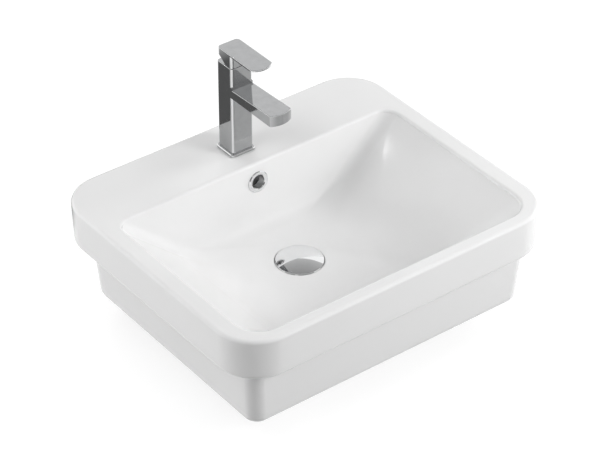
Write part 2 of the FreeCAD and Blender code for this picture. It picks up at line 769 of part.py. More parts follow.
def make_waste_body():
    """Flange, funnel, slotted tube with its bridge, relief groove and tail thread."""
    flange_foot = f"{FLANGE_TOP} - Size.flange_thickness"
    body = turned(
        "waste_body",
        [
            ("Size.waste_bore_radius", TAIL_FOOT),
            ("Size.waste_thread_radius", TAIL_FOOT),
            ("Size.waste_thread_radius", TAIL_TOP),
            ("Size.waste_groove_radius", TAIL_TOP),
            ("Size.waste_groove_radius", GROOVE_TOP),
            ("Size.waste_thread_radius", GROOVE_TOP),
            ("Size.waste_thread_radius", f"{flange_foot} - Size.funnel_depth / 2"),
            ("Size.waste_hole_radius - Size.hole_clearance", flange_foot),
            ("Size.flange_radius", flange_foot),
            ("Size.flange_radius", f"{FLANGE_TOP} - Size.flange_thickness / 2"),
            ("Size.flange_radius - Size.flange_thickness / 2", FLANGE_TOP),
            ("Size.flange_mouth_radius", FLANGE_TOP),
            ("Size.waste_bore_radius", f"{FLANGE_TOP} - Size.funnel_depth"),
        ],
        WASTE_AXIS,
    )
    reach = "Size.flange_radius"
    slot_foot = f"{BOSS_FOOT} + Size.duct_wall"
    block(body, "Subtractive", "Size.slot_width", f"-1 * {reach}", reach, slot_foot, f"{slot_foot} + Size.duct_gap")
    bridge_half = "Size.bridge_width / 2"
    bridge_length = "2 * Size.waste_bore_radius + 1"
    block(body, "Additive", bridge_length, f"-1 * {bridge_half}", bridge_half, BRIDGE_FOOT, BRIDGE_TOP)
    primitive(
        body,
        "AdditiveCylinder",
        {"Radius": "Size.bridge_hub_radius", "Height": "Size.bridge_height"},
        ("0", "0", BRIDGE_FOOT),
    )
    drill(body, "Size.click_radius + Size.running_clearance", BRIDGE_FOOT, BRIDGE_TOP)
    return body


def make_waste_seals_and_nut():
    """What clamps the waste to the ceramic."""
    bore = "Size.waste_thread_radius + Size.thread_clearance"
    top_seal = ring(
        "waste_top_seal",
        "Size.waste_hole_radius",
        "Size.flange_radius - 0.5",
        RECESS,
        f"{RECESS} + Size.flange_seal",
        WASTE_AXIS,
    )
    lower_washer = turned(
        "waste_lower_washer",
        [
            (bore, WASHER_FOOT),
            ("Size.washer_radius", WASHER_FOOT),
            ("Size.washer_radius", f"{WASHER_FOOT} + Size.washer_foot"),
            ("Size.washer_nose_radius", BOSS_FOOT),
            (bore, BOSS_FOOT),
        ],
        WASTE_AXIS,
    )
    slip_washer = ring("waste_slip_washer", bore, "Size.washer_radius", SLIP_FOOT, WASHER_FOOT, WASTE_AXIS)
    back_nut = hexagon_nut("waste_back_nut", "Size.back_nut_across", bore, NUT_FOOT, SLIP_FOOT, WASTE_AXIS)
    return [top_seal, lower_washer, slip_washer, back_nut]


def make_plug():
    """The domed cap with its seal, closed on the flange."""
    stem_bore = "Size.stem_radius + Size.running_clearance"
    crown_radius = "((Size.cap_radius^2 + Size.cap_crown^2) / (2 * Size.cap_crown))"
    boss_foot = f"{CAP_DISC} - Size.cap_boss_drop"
    cap = turned(
        "plug_cap",
        [
            ("0", CAP_TOP),
            ("0", STEM_TOP),
            (stem_bore, STEM_TOP),
            (stem_bore, boss_foot),
            ("Size.cap_boss_radius", boss_foot),
            ("Size.cap_boss_radius", CAP_DISC),
            ("Size.cap_disc_radius", CAP_DISC),
            ("Size.cap_disc_radius", CAP_FOOT),
            ("Size.cap_radius", CAP_FOOT),
            ("Size.cap_radius", CAP_SHOULDER),
        ],
        WASTE_AXIS,
        arcs={9: crown_radius},
    )
    seal = ring(
        "plug_seal",
        "Size.cap_boss_radius + Size.running_clearance",
        "Size.plug_seal_radius",
        f"{CAP_DISC} - Size.plug_seal_thickness",
        CAP_DISC,
        WASTE_AXIS,
    )
    return [cap, seal]


def make_click_mechanism():
    """The housing screwed through the bridge, its nut, the stem with its piston, and the spring below the piston."""
    shoulder = f"{BRIDGE_TOP} + Size.click_shoulder_height"
    ceiling = f"{CLICK_TOP} - Size.click_wall"
    stem_hole = "Size.stem_radius + Size.running_clearance"
    housing = turned(
        "click_housing",
        [
            ("0", CLICK_FOOT),
            ("Size.click_radius", CLICK_FOOT),
            ("Size.click_radius", BRIDGE_TOP),
            ("Size.click_shoulder_radius", BRIDGE_TOP),
            ("Size.click_shoulder_radius", shoulder),
            ("Size.click_radius", shoulder),
            ("Size.click_radius", CLICK_TOP),
            (stem_hole, CLICK_TOP),
            (stem_hole, ceiling),
            ("Size.click_bore_radius", ceiling),
            ("Size.click_bore_radius", CLICK_FLOOR),
            ("0", CLICK_FLOOR),
        ],
        WASTE_AXIS,
    )
    nut = hexagon_nut(
        "click_nut",
        "Size.click_nut_across",
        "Size.click_radius + Size.running_clearance",
        f"{BRIDGE_FOOT} - Size.click_nut_height",
        BRIDGE_FOOT,
        WASTE_AXIS,
    )
    piston = "Size.click_bore_radius - Size.running_clearance"
    piston_top = f"{PISTON_FOOT} + Size.piston_height"
    stem = turned(
        "click_stem",
        [
            ("0", f"{PISTON_FOOT} - Size.stem_tail"),
            ("Size.stem_radius", f"{PISTON_FOOT} - Size.stem_tail"),
            ("Size.stem_radius", PISTON_FOOT),
            (piston, PISTON_FOOT),
            (piston, piston_top),
            ("Size.stem_radius", piston_top),
            ("Size.stem_radius", STEM_TOP),
            ("0", STEM_TOP),
        ],
        WASTE_AXIS,
    )
    return [housing, nut, stem, make_click_spring()]


def make_click_spring():
    """A helical spring between the housing's floor and the piston."""
    body = new_body("click_spring", WASTE_AXIS)
    wire = "Size.spring_wire / 2"
    seat = "Size.running_clearance"
    low = f"{CLICK_FLOOR} + {wire} + {seat}"
    rise = f"(Size.piston_drop - Size.spring_wire - 2 * {seat})"
    sketch = sketch_on(body, "XZ_Plane")
    centre = FreeCAD.Vector(number("Size.spring_radius"), number(low), 0)
    sketch.addGeometry(Part.Circle(centre, FreeCAD.Vector(0, 0, 1), number(wire)), False)
    for kind, expression in (("DistanceX", "Size.spring_radius"), ("DistanceY", low)):
        held = sketch.addConstraint(Sketcher.Constraint(kind, -1, 1, 0, 3, number(expression)))
        sketch.setExpression(f"Constraints[{held}]", expression)
    held = sketch.addConstraint(Sketcher.Constraint("Radius", 0, number(wire)))
    sketch.setExpression(f"Constraints[{held}]", wire)
    helix = body.newObject("PartDesign::AdditiveHelix", "Helix")
    helix.Profile = sketch
    helix.ReferenceAxis = (sketch, ["V_Axis"])
    helix.Mode = "height-turns-angle"
    helix.setExpression("Height", rise)
    helix.setExpression("Turns", "Size.spring_turns")
    gap = number(f"{rise} / Size.spring_turns - Size.spring_wire")
    print(f"least gap between the spring's turns: {gap:.2f} mm")
    return body


# ---------------------------------------------------------------------------------------------------------------------
# Tap
# ---------------------------------------------------------------------------------------------------------------------


def make_tap_foot():
    """The square foot plate and the seal between it and the deck."""
    seal = new_body("tap_base_seal", TAP_AXIS)
    half = "Size.base_seal_size / 2"
    corner = "Size.base_flange_corner - (Size.base_flange_size - Size.base_seal_size) / 2"
    sketch = rounded_rectangle(sketch_on(seal, "XY_Plane", DECK), half, f"-1 * {half}", half, corner, corner)
    pad(seal, sketch, "Size.base_seal_thickness")
    hole = "Size.boss_radius + Size.thread_clearance"
    drill(seal, hole, DECK, BASE_FLANGE_FOOT)

    plate = new_body("tap_base_flange", TAP_AXIS)
    half = "Size.base_flange_size / 2"
    corner = "Size.base_flange_corner"
    sketch = rounded_rectangle(
        sketch_on(plate, "XY_Plane", BASE_FLANGE_FOOT), half, f"-1 * {half}", half, corner, corner
    )
    pad(plate, sketch, "Size.base_flange_height")
    flange_top = number(COLUMN_FOOT)
    dress_edges(plate, "Chamfer", {"Size": "Size.base_flange_bevel"}, lambda edge: lies_at(edge, flange_top))
    drill(plate, hole, BASE_FLANGE_FOOT, COLUMN_FOOT)
    return [seal, plate]


def make_tap_body():
    """The square column with its boss, the spout, the cartridge pocket and the waterways."""
    body = new_body("tap_body", TAP_AXIS)
    half_depth = "Size.column_depth / 2"
    half_width = "Size.column_width / 2"
    column = rounded_rectangle(
        sketch_on(body, "XY_Plane", COLUMN_FOOT),
        half_width,
        f"-1 * {half_depth}",
        half_depth,
        "Size.column_corner",
        "Size.column_corner",
    )
    pad(body, column, f"{COLUMN_TOP} - {COLUMN_FOOT}")
    column_top = number(COLUMN_TOP)
    round_edges(body, "Size.tap_edge_round", lambda edge: lies_at(edge, column_top))
    primitive(
        body,
        "AdditiveCylinder",
        {"Radius": "Size.boss_radius", "Height": f"{COLUMN_FOOT} - {BOSS_END}"},
        ("0", "0", BOSS_END),
    )

    # spout: its plan has a bowed tip, and its top rises a little towards the tip
    bow = "(Size.spout_tip_radius - sqrt(Size.spout_tip_radius^2 - (Size.column_width / 2)^2))"
    tip_corner = f"-1 * (Size.spout_reach - {bow})"
    plan = outline(
        sketch_on(body, "XY_Plane", SPOUT_UNDER),
        [(f"-1 * {half_width}", tip_corner), (half_width, tip_corner), (half_width, "0"), (f"-1 * {half_width}", "0")],
        arcs={0: "Size.spout_tip_radius"},
    )
    pad(body, plan, "Size.spout_tip_height")
    tip_top = f"{SPOUT_UNDER} + Size.spout_tip_height"
    above = outline(
        sketch_on(body, "YZ_Plane"),
        [
            (f"-1 * {half_depth}", f"{SPOUT_UNDER} + Size.spout_root_height"),
            (f"-1 * {half_depth}", f"{tip_top} + 1"),
            ("-1 * Size.spout_reach", f"{tip_top} + 1"),
            ("-1 * Size.spout_reach", tip_top),
        ],
    )
    cut_through(body, above, "Size.column_width + 1")
    round_edges(body, "Size.tap_edge_round", is_spout_edge)

    # cartridge pocket, its nut's counterbore, the aerator's hole and the stud's hole
    drill(body, "Size.pocket_radius", POCKET_FLOOR, COLUMN_TOP)
    drill(body, "Size.nut_counterbore_radius", f"{COLUMN_TOP} - Size.nut_counterbore_depth", COLUMN_TOP)
    drill(body, "Size.aerator_hole_radius", SPOUT_UNDER, AERATOR_ROOF, back=f"-1 * {AERATOR_REACH}")
    stud_hole = "Size.stud_radius + Size.running_clearance"
    drill(body, stud_hole, BOSS_END, f"{BOSS_END} + Size.stud_grip", back="Size.stud_back")

    # waterways: two inlets up to the cartridge, one outlet down to the spout's channel
    for side in ("", "-1 * "):
        across = f"{side}Size.inlet_spread"
        back = "-1 * Size.inlet_forward"
        drill(body, "Size.waterway_radius", BOSS_END, POCKET_FLOOR, across, back)
        drill(
            body, "Size.inlet_thread_radius", BOSS_END, f"{BOSS_END} + Size.inlet_thread_length", across, back
        )
    drill(body, "Size.waterway_radius", CHANNEL_LEVEL, POCKET_FLOOR, back="-1 * Size.outlet_forward")
    primitive(
        body,
        "SubtractiveCylinder",
        {"Radius": "Size.spout_channel_radius", "Height": f"{AERATOR_REACH} - Size.outlet_forward"},
        ("0", "-1 * Size.outlet_forward", CHANNEL_LEVEL),
        turn=((1, 0, 0), "90"),
    )
    return body


def is_spout_edge(edge):
    """Whether an edge lies before the column's front face."""
    middle = edge.valueAt((edge.FirstParameter + edge.LastParameter) / 2)
    return middle.y < -number("Size.column_depth / 2") - 1


def make_aerator():
    """The screwed-in ring, its perforated insert and its seal."""
    bore = f"{AERATOR_RADIUS} - Size.aerator_wall"
    housing = ring("aerator_housing", bore, AERATOR_RADIUS, AERATOR_FOOT, AERATOR_TOP, AERATOR_AXIS)
    insert = new_body("aerator_insert", AERATOR_AXIS)
    insert_radius = f"{bore} - Size.running_clearance"
    insert_foot = f"{AERATOR_FOOT} + Size.aerator_stand_out"
    insert_top = f"{insert_foot} + Size.aerator_insert_height"
    primitive(
        insert,
        "AdditiveCylinder",
        {"Radius": insert_radius, "Height": "Size.aerator_insert_height"},
        ("0", "0", insert_foot),
    )
    drill(insert, "Size.aerator_jet_radius", insert_foot, insert_top)
    jet = drill(insert, "Size.aerator_jet_radius", insert_foot, insert_top, across="Size.aerator_jet_circle")
    pattern = insert.newObject("PartDesign::PolarPattern", "PolarPattern")
    pattern.Originals = [jet]
    pattern.Axis = (next(item for item in insert.Origin.OriginFeatures if item.Role == "Z_Axis"), [""])
    pattern.Angle = 360
    pattern.setExpression("Occurrences", "Size.aerator_jets")
    insert.Tip = pattern
    seal = ring("aerator_seal", bore, AERATOR_RADIUS, AERATOR_TOP, AERATOR_ROOF, AERATOR_AXIS)
    return [housing, insert, seal]


def make_clamp_ring(name, radius, foot, top):
    """A horseshoe under the deck: open to the front for the supply hoses, drilled at the back for the stud."""
    body = new_body(name, TAP_AXIS)
    primitive(body, "AdditiveCylinder", {"Radius": radius, "Height": f"{top} - {foot}"}, ("0", "0", foot))
    block(body, "Subtractive", "Size.clamp_mouth", f"-1 * {radius}", "Size.clamp_mouth_back", foot, top)
    drill(body, "Size.stud_radius + Size.thread_clearance", foot, top, back="Size.stud_back")
    return body


def make_tap_fixing():
    """The stud that hangs from the tap's boss and what it clamps against the deck's underside."""
    rubber = make_clamp_ring("deck_rubber_washer", "Size.clamp_radius", PLATE_TOP, DECK_UNDER)
    plate = make_clamp_ring("deck_clamp_plate", "Size.clamp_radius - 1", STUD_NUT_TOP, PLATE_TOP)
    stud_place = ("0", f"({TAP_BACK} + Size.stud_back)", "0")
    nut = hexagon_nut(
        "stud_nut",
        "Size.stud_nut_across",
        "Size.stud_radius + Size.running_clearance",
        f"{STUD_NUT_TOP} - Size.stud_nut_height",
        STUD_NUT_TOP,
        stud_place,
    )
    stud = new_body("mounting_stud", stud_place)
    stud_top = f"({BOSS_END} + Size.stud_grip)"
    primitive(
        stud,
        "AdditiveCylinder",
        {"Radius": "Size.stud_radius", "Height": "Size.stud_length"},
        ("0", "0", f"{stud_top} - Size.stud_length"),
    )
    return [rubber, plate, nut, stud]


def drill_ports(body, foot, top):
    """The two inlet ports and the outlet port through a piece of the cartridge."""
    for side in ("", "-1 * "):
        drill(body, "Size.waterway_radius", foot, top, f"{side}Size.inlet_spread", "-1 * Size.inlet_forward")
    drill(body, "Size.waterway_radius", foot, top, back="-1 * Size.outlet_forward")


def make_ported_disc(name, radius, foot, top):
    """A flat round piece with the cartridge's three ports."""
    body = new_body(name, TAP_AXIS)
    primitive(body, "AdditiveCylinder", {"Radius": radius, "Height": f"{top} - {foot}"}, ("0", "0", foot))
    drill_ports(body, foot, top)
    return body


def make_cartridge():
    """Seal, base, ceramic discs, housing, turret with its cross pin, nut and cover."""
    seal = make_ported_disc("cartridge_seal", "Size.cartridge_radius - 1", POCKET_FLOOR, CARTRIDGE_FOOT)
    base = make_ported_disc("cartridge_base", "Size.cartridge_radius", CARTRIDGE_FOOT, FIXED_DISC_FOOT)
    fixed_radius = "Size.chamber_radius - Size.running_clearance"
    fixed_disc = make_ported_disc("fixed_disc", fixed_radius, FIXED_DISC_FOOT, FIXED_DISC_TOP)

    moving_disc = new_body("moving_disc", TAP_AXIS)
    primitive(
        moving_disc,
        "AdditiveCylinder",
        {"Radius": "Size.disc_radius", "Height": "Size.disc_height"},
        ("0", "Size.disc_rest_back", DISC_FOOT),
    )
    drill(moving_disc, "Size.disc_socket_radius", f"{DISC_TOP} - Size.disc_socket_depth", DISC_TOP)

    turret_bore = "Size.turret_radius + Size.running_clearance"
    neck_top = f"{SHOULDER} + Size.neck_height"
    housing = turned(
        "cartridge_housing",
        [
            ("Size.chamber_radius", FIXED_DISC_FOOT),
            ("Size.cartridge_radius", FIXED_DISC_FOOT),
            ("Size.cartridge_radius", SHOULDER),
            ("Size.neck_radius", SHOULDER),
            ("Size.neck_radius", neck_top),
            (turret_bore, neck_top),
            (turret_bore, ROOF),
            ("Size.chamber_radius", ROOF),
        ],
        TAP_AXIS,
    )

    turret = turned(
        "turret",
        [
            ("0", TURRET_FOOT),
            ("Size.turret_flange_radius", TURRET_FOOT),
            ("Size.turret_flange_radius", TURRET_SHOULDER),
            ("Size.turret_radius", TURRET_SHOULDER),
            ("Size.turret_radius", TURRET_TOP),
            ("0", TURRET_TOP),
        ],
        TAP_AXIS,
    )
    slot_width = "Size.spindle_width + 4 * Size.running_clearance"
    slot_front = "-1 * Size.turret_slot_front"
    block(turret, "Subtractive", slot_width, slot_front, "Size.turret_slot_back", TURRET_FOOT, TURRET_TOP)
    primitive(
        turret,
        "SubtractiveCylinder",
        {"Radius": "Size.pin_radius + Size.running_clearance / 2", "Height": "4 * Size.turret_radius"},
        ("-2 * Size.turret_radius", "0", PIVOT),
        turn=((0, 1, 0), "90"),
    )

    pin = new_body("turret_pin", TAP_AXIS)
    primitive(
        pin,
        "AdditiveCylinder",
        {"Radius": "Size.pin_radius", "Height": "Size.pin_length"},
        ("-1 * Size.pin_length / 2", "0", PIVOT),
        turn=((0, 1, 0), "90"),
    )

    nut = turned(
        "cartridge_nut",
        [
            ("Size.neck_radius + Size.thread_clearance", SHOULDER),
            ("Size.nut_counterbore_radius - Size.running_clearance", SHOULDER),
            ("Size.nut_counterbore_radius - Size.running_clearance", NUT_TOP),
            ("Size.neck_radius + Size.thread_clearance", NUT_TOP),
        ],
        TAP_AXIS,
    )
    cover_flange = "Size.nut_counterbore_radius - Size.hole_clearance"
    flange_top = f"{NUT_TOP} + Size.cover_flange_height"
    ball_at_flange = f"sqrt(Size.cover_radius^2 - ({flange_top} - {PIVOT})^2)"
    opening_level = f"{PIVOT} + sqrt(Size.cover_radius^2 - Size.cover_opening_radius^2)"
    cover = turned(
        "cartridge_cover",
        [
            ("Size.cover_opening_radius", NUT_TOP),
            (cover_flange, NUT_TOP),
            (cover_flange, flange_top),
            (ball_at_flange, flange_top),
            ("Size.cover_opening_radius", opening_level),
        ],
        TAP_AXIS,
        arcs={3: "Size.cover_radius"},
    )
    return [seal, base, fixed_disc, moving_disc, housing, turret, pin, nut, cover]


def make_spindle():
    """The flat spindle: a blade on the cross pin, with a ball at its foot that pushes the moving disc."""
    body = new_body("spindle", TAP_AXIS)
    half = "Size.spindle_depth / 2"
    blade_foot = f"{PIVOT} - Size.spindle_heel"
    block(body, "Additive", "Size.spindle_width", f"-1 * {half}", half, blade_foot, SPINDLE_TOP)
    primitive(
        body,
        "AdditiveCylinder",
        {"Radius": "Size.ball_neck_radius", "Height": "Size.ball_drop - Size.spindle_heel"},
        ("0", "0", BALL),
    )
    primitive(body, "AdditiveSphere", {"Radius": "Size.ball_radius"}, ("0", "0", BALL))
    primitive(
        body,
        "SubtractiveCylinder",
        {"Radius": "Size.pin_radius + Size.running_clearance", "Height": "2 * Size.spindle_width"},
        ("-1 * Size.spindle_width", "0", PIVOT),
        turn=((0, 1, 0), "90"),
    )
    return body


def make_lever():
    """The thin plate with a bowed tip, on a block that is hollowed for the cover and bored for spindle and screw."""
    body = new_body("lever", TAP_AXIS)
    half = "Size.column_width / 2"
    back = "Size.lever_back"
    corner = "Size.lever_back_corner"
    bow = "(Size.lever_tip_radius - sqrt(Size.lever_tip_radius^2 - (Size.column_width / 2)^2))"
    tip = f"-1 * (Size.lever_reach - {bow})"
    plate_under = f"{LEVER_TOP} - Size.lever_plate"
    plan = outline(
        sketch_on(body, "XY_Plane", plate_under),
        [
            (f"-1 * {half}", tip),
            (half, tip),
            (half, f"{back} - {corner}"),
            (f"{half} - {corner}", back),
            (f"-1 * ({half} - {corner})", back),
            (f"-1 * {half}", f"{back} - {corner}"),
        ],
        arcs={0: "Size.lever_tip_radius", 2: corner, 4: corner},
    )
    pad(body, plan, "Size.lever_plate")
    round_edges(body, "Size.tap_edge_round", lambda edge: True)
    front = "-1 * Size.column_depth / 2"
    block_plan = rounded_rectangle(
        sketch_on(body, "XY_Plane", LEVER_FOOT), half, front, back, "Size.column_corner", corner
    )
    pad(body, block_plan, f"{LEVER_TOP} - Size.tap_edge_round - {LEVER_FOOT}")

    # the underside rises towards the back, so that the block clears the column as the lever lifts
    below = f"{LEVER_FOOT} - 1"
    bevel = outline(
        sketch_on(body, "YZ_Plane"),
        [
            ("-1 * Size.lever_bevel_front", below),
            (f"{back} + 1", below),
            (f"{back} + 1", f"{LEVER_FOOT} + Size.lever_bevel_rise"),
            ("Size.lever_bevel_back", f"{LEVER_FOOT} + Size.lever_bevel_rise"),
            ("-1 * Size.lever_bevel_front", LEVER_FOOT),
        ],
    )
    cut_through(body, bevel, "Size.column_width + 1")
    ball = "Size.cover_radius + Size.lever_ball_clearance"
    primitive(body, "SubtractiveSphere", {"Radius": ball}, ("0", "0", PIVOT))
    socket_half = "Size.spindle_depth / 2 + Size.running_clearance"
    block(
        body,
        "Subtractive",
        "Size.spindle_width + 2 * Size.running_clearance",
        f"-1 * ({socket_half})",
        socket_half,
        PIVOT,
        f"{SPINDLE_TOP} + Size.running_clearance",
    )
    primitive(
        body,
        "SubtractiveCylinder",
        {"Radius": "Size.screw_radius + Size.running_clearance", "Height": f"{back} + 1"},
        ("0", "0", SCREW_LEVEL),
        turn=((-1, 0, 0), "90"),
    )
    return body


def make_lever_screw():
    """The grub screw that holds the lever on the spindle, and the plug that hides it."""
    screw_front = "(Size.spindle_depth / 2 + Size.running_clearance)"
    parts = []
    for name, radius, start, length in (
        ("lever_grub_screw", "Size.screw_radius", screw_front, "Size.screw_length"),
        ("screw_plug", "Size.screw_radius", "(Size.lever_back - Size.plug_length)", "Size.plug_length"),
    ):
        body = new_body(name, TAP_AXIS)
        primitive(
            body,
            "AdditiveCylinder",
            {"Radius": radius, "Height": length},
            ("0", start, SCREW_LEVEL),
            turn=((-1, 0, 0), "90"),
        )
        parts.append(body)
    return parts


# ---------------------------------------------------------------------------------------------------------------------
# Build, test and write
# ---------------------------------------------------------------------------------------------------------------------


def check_document():
    """Stop if an object of the document failed."""
    for item in document.Objects:
        failed = [state for state in item.State if state in ("Invalid", "Error")]
        if failed:
            raise RuntimeError(f"{item.Name} in {getattr(item.getParentGeoFeatureGroup(), 'Label', '')}: {failed}")


def check_cuts(body):
    """Stop if a feature that should take material away takes none, or one that should add it adds none."""
    before = 0.0
    for feature in body.Group:
        if not feature.isDerivedFrom("PartDesign::Feature"):
            continue
        after = feature.Shape.Volume
        takes = feature.TypeId.startswith("PartDesign::Subtractive") or feature.TypeId == "PartDesign::Pocket"
        adds = feature.TypeId.startswith("PartDesign::Additive") or feature.TypeId == "PartDesign::Pad"
        if (takes and after > before - 0.01) or (adds and after < before + 0.01):
            raise RuntimeError(f"{body.Label}: {feature.Name} changes nothing")
        before = after


def main():
    """Build every sub-part, test it and write its file."""
    bodies = [make_basin()]
    bodies += make_overflow_trim()
    bodies += [make_waste_body()]
    bodies += make_waste_seals_and_nut()
    bodies += make_plug()
    bodies += make_click_mechanism()
    bodies += make_tap_foot()
    bodies += [make_tap_body()]
    bodies += make_aerator()
    bodies += make_tap_fixing()
    bodies += make_cartridge()
    bodies += [make_spindle(), make_lever()]
    bodies += make_lever_screw()
    document.recompute()
    check_document()
    for body in bodies:
        check_cuts(body)
        if body.Shape.isNull() or not body.Shape.isValid():
            raise RuntimeError(f"{body.Label}: its shape isn't valid")
    os.makedirs("parts", exist_ok=True)
    for body in bodies:
        body.Shape.exportStep(f"parts/{body.Label}.step")
        print(f"{body.Label}: {len(body.Shape.Solids)} solid, {body.Shape.Volume / 1000:.2f} cm3")


main()
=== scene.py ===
"""Studio scene of a semi recessed ceramic basin with its lever tap, overflow ring and push-to-open waste.

Everything is in metres in the frame of the CAD model: +Z up, the user at -Y, the tap at +Y, and the origin at the
middle of the rim, on the plane of its underside.
"""

import json
import logging
import math
from dataclasses import dataclass
from enum import Enum

import bmesh
import bpy
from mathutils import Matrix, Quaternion, Vector

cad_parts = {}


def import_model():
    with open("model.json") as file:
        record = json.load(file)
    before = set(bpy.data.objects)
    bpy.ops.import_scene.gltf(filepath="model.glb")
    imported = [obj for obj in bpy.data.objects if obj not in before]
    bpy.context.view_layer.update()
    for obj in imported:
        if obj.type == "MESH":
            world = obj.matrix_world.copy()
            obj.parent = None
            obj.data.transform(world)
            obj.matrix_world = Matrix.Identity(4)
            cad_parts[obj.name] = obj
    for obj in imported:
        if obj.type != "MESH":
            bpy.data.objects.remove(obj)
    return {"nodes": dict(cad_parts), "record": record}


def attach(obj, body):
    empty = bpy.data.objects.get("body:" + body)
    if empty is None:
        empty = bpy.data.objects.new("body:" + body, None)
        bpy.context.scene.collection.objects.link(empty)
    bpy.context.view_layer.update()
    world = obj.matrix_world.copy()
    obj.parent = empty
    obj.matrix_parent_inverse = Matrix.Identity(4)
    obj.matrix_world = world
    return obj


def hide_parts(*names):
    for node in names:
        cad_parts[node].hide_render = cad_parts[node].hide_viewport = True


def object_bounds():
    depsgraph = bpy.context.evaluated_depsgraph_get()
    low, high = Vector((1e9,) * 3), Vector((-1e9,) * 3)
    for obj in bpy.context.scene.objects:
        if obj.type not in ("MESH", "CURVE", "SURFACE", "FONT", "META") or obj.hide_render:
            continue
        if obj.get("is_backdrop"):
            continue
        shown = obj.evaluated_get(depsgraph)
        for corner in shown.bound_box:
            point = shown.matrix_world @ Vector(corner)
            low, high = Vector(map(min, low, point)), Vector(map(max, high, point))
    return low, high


log = logging.getLogger("basin")
MM = 0.001
FLOOR_GAP = 0.0003
FINE_WAVES = 7.0
ROUGHNESS_GRAIN = 3.0
# The Mix node has several sockets of each name, so they go by number: the share, two numbers and two colours.
MIX_SHARE, MIX_NUMBERS, MIX_COLOURS = 0, (2, 3), (6, 7)
MIXED_NUMBER, MIXED_COLOUR = 0, 2
WHITE = (1.0, 1.0, 1.0, 1.0)

Point = tuple[float, float, float]
Colour = tuple[float, float, float]


# --------------------------------------------------------------------------------------------------
# Shader drawing
# --------------------------------------------------------------------------------------------------


class ShaderSheet:
    """A shader node tree that is being drawn."""

    def __init__(self, tree: bpy.types.NodeTree) -> None:
        """Start on an empty tree.

        Args:
            tree: The node tree of a material, a world or a group.
        """
        self.tree = tree
        tree.nodes.clear()

    def add(self, kind: str, inputs: dict[str | int, object] | None = None, **settings: object) -> bpy.types.Node:
        """Add a node.

        Args:
            kind: The node's type name.
            inputs: Socket names or numbers with either a fixed value or the output socket that feeds them.
            settings: Properties of the node itself.

        Returns:
            The new node.
        """
        node = self.tree.nodes.new(kind)
        for name, value in settings.items():
            setattr(node, name, value)
        for name, value in (inputs or {}).items():
            socket = node.inputs[name]
            if isinstance(value, bpy.types.NodeSocket):
                self.tree.links.new(value, socket)
            else:
                socket.default_value = value
        return node

    def mix_colours(self, share: bpy.types.NodeSocket, first: object, second: object) -> bpy.types.NodeSocket:
        """Mix two colours.

        Args:
            share: The second colour's share.
            first: The first colour, as a value or a socket.
            second: The second colour, as a value or a socket.

        Returns:
            The mixed colour's socket.
        """
        sockets = {MIX_SHARE: share, MIX_COLOURS[0]: first, MIX_COLOURS[1]: second}
        return self.add("ShaderNodeMix", sockets, data_type="RGBA").outputs[MIXED_COLOUR]

    def distance_from_middle(self) -> bpy.types.NodeSocket:
        """How far each point of a piece lies from the piece's own origin."""
        place = self.add("ShaderNodeTexCoord")
        away = self.add("ShaderNodeVectorMath", {0: place.outputs["Object"]}, operation="LENGTH")
        return away.outputs["Value"]


class Effect(Enum):
    """Shader effects that several finishes share, each kept as one node group."""

    RIPPLE = "ripple_height"
    SPECKLE = "speckle_value"
    DRAWN_LINES = "drawn_lines_height"
    EDGES = "edge_highlight_mask"


def effect_group(effect: Effect) -> bpy.types.NodeTree:
    """Get the node group of a shared effect, and draw it the first time it is asked for.

    Args:
        effect: Which effect.

    Returns:
        The node group.
    """
    found = bpy.data.node_groups.get(effect.value)
    return found or EFFECT_DRAWERS[effect](bpy.data.node_groups.new(effect.value, "ShaderNodeTree"))


def group_sockets(group: bpy.types.NodeTree, inputs: dict[str, float], output: str) -> None:
    """Give a group its named number inputs and its one number output.

    Args:
        group: The node group.
        inputs: Input names with their defaults.
        output: The output's name.
    """
    for name, default in inputs.items():
        socket = group.interface.new_socket(name=name, in_out="INPUT", socket_type="NodeSocketFloat")
        socket.default_value = default
    group.interface.new_socket(name=output, in_out="OUTPUT", socket_type="NodeSocketFloat")


def draw_ripple(group: bpy.types.NodeTree) -> bpy.types.NodeTree:
    """Long, low waves of a fired or polished surface, as a height between 0 and 1.

    Args:
        group: The empty group.

    Returns:
        The group.
    """
    group_sockets(group, {"Wave": 40.0, "Detail Share": 0.25}, "Height")
    sheet = ShaderSheet(group)
    given = sheet.add("NodeGroupInput")
    place = sheet.add("ShaderNodeTexCoord")
    broad = sheet.add(
        "ShaderNodeTexNoise", {"Vector": place.outputs["Object"], "Scale": given.outputs["Wave"], "Detail": 1.0}
    )
    finer = sheet.add("ShaderNodeMath", {0: given.outputs["Wave"], 1: FINE_WAVES}, operation="MULTIPLY")
    fine = sheet.add(
        "ShaderNodeTexNoise", {"Vector": place.outputs["Object"], "Scale": finer.outputs[0], "Detail": 2.0}
    )
    mixed = sheet.add(
        "ShaderNodeMix",
        {
            MIX_SHARE: given.outputs["Detail Share"],
            MIX_NUMBERS[0]: broad.outputs["Fac"],
            MIX_NUMBERS[1]: fine.outputs["Fac"],
        },
    )
    sheet.add("NodeGroupOutput", {"Height": mixed.outputs[MIXED_NUMBER]})
    return group


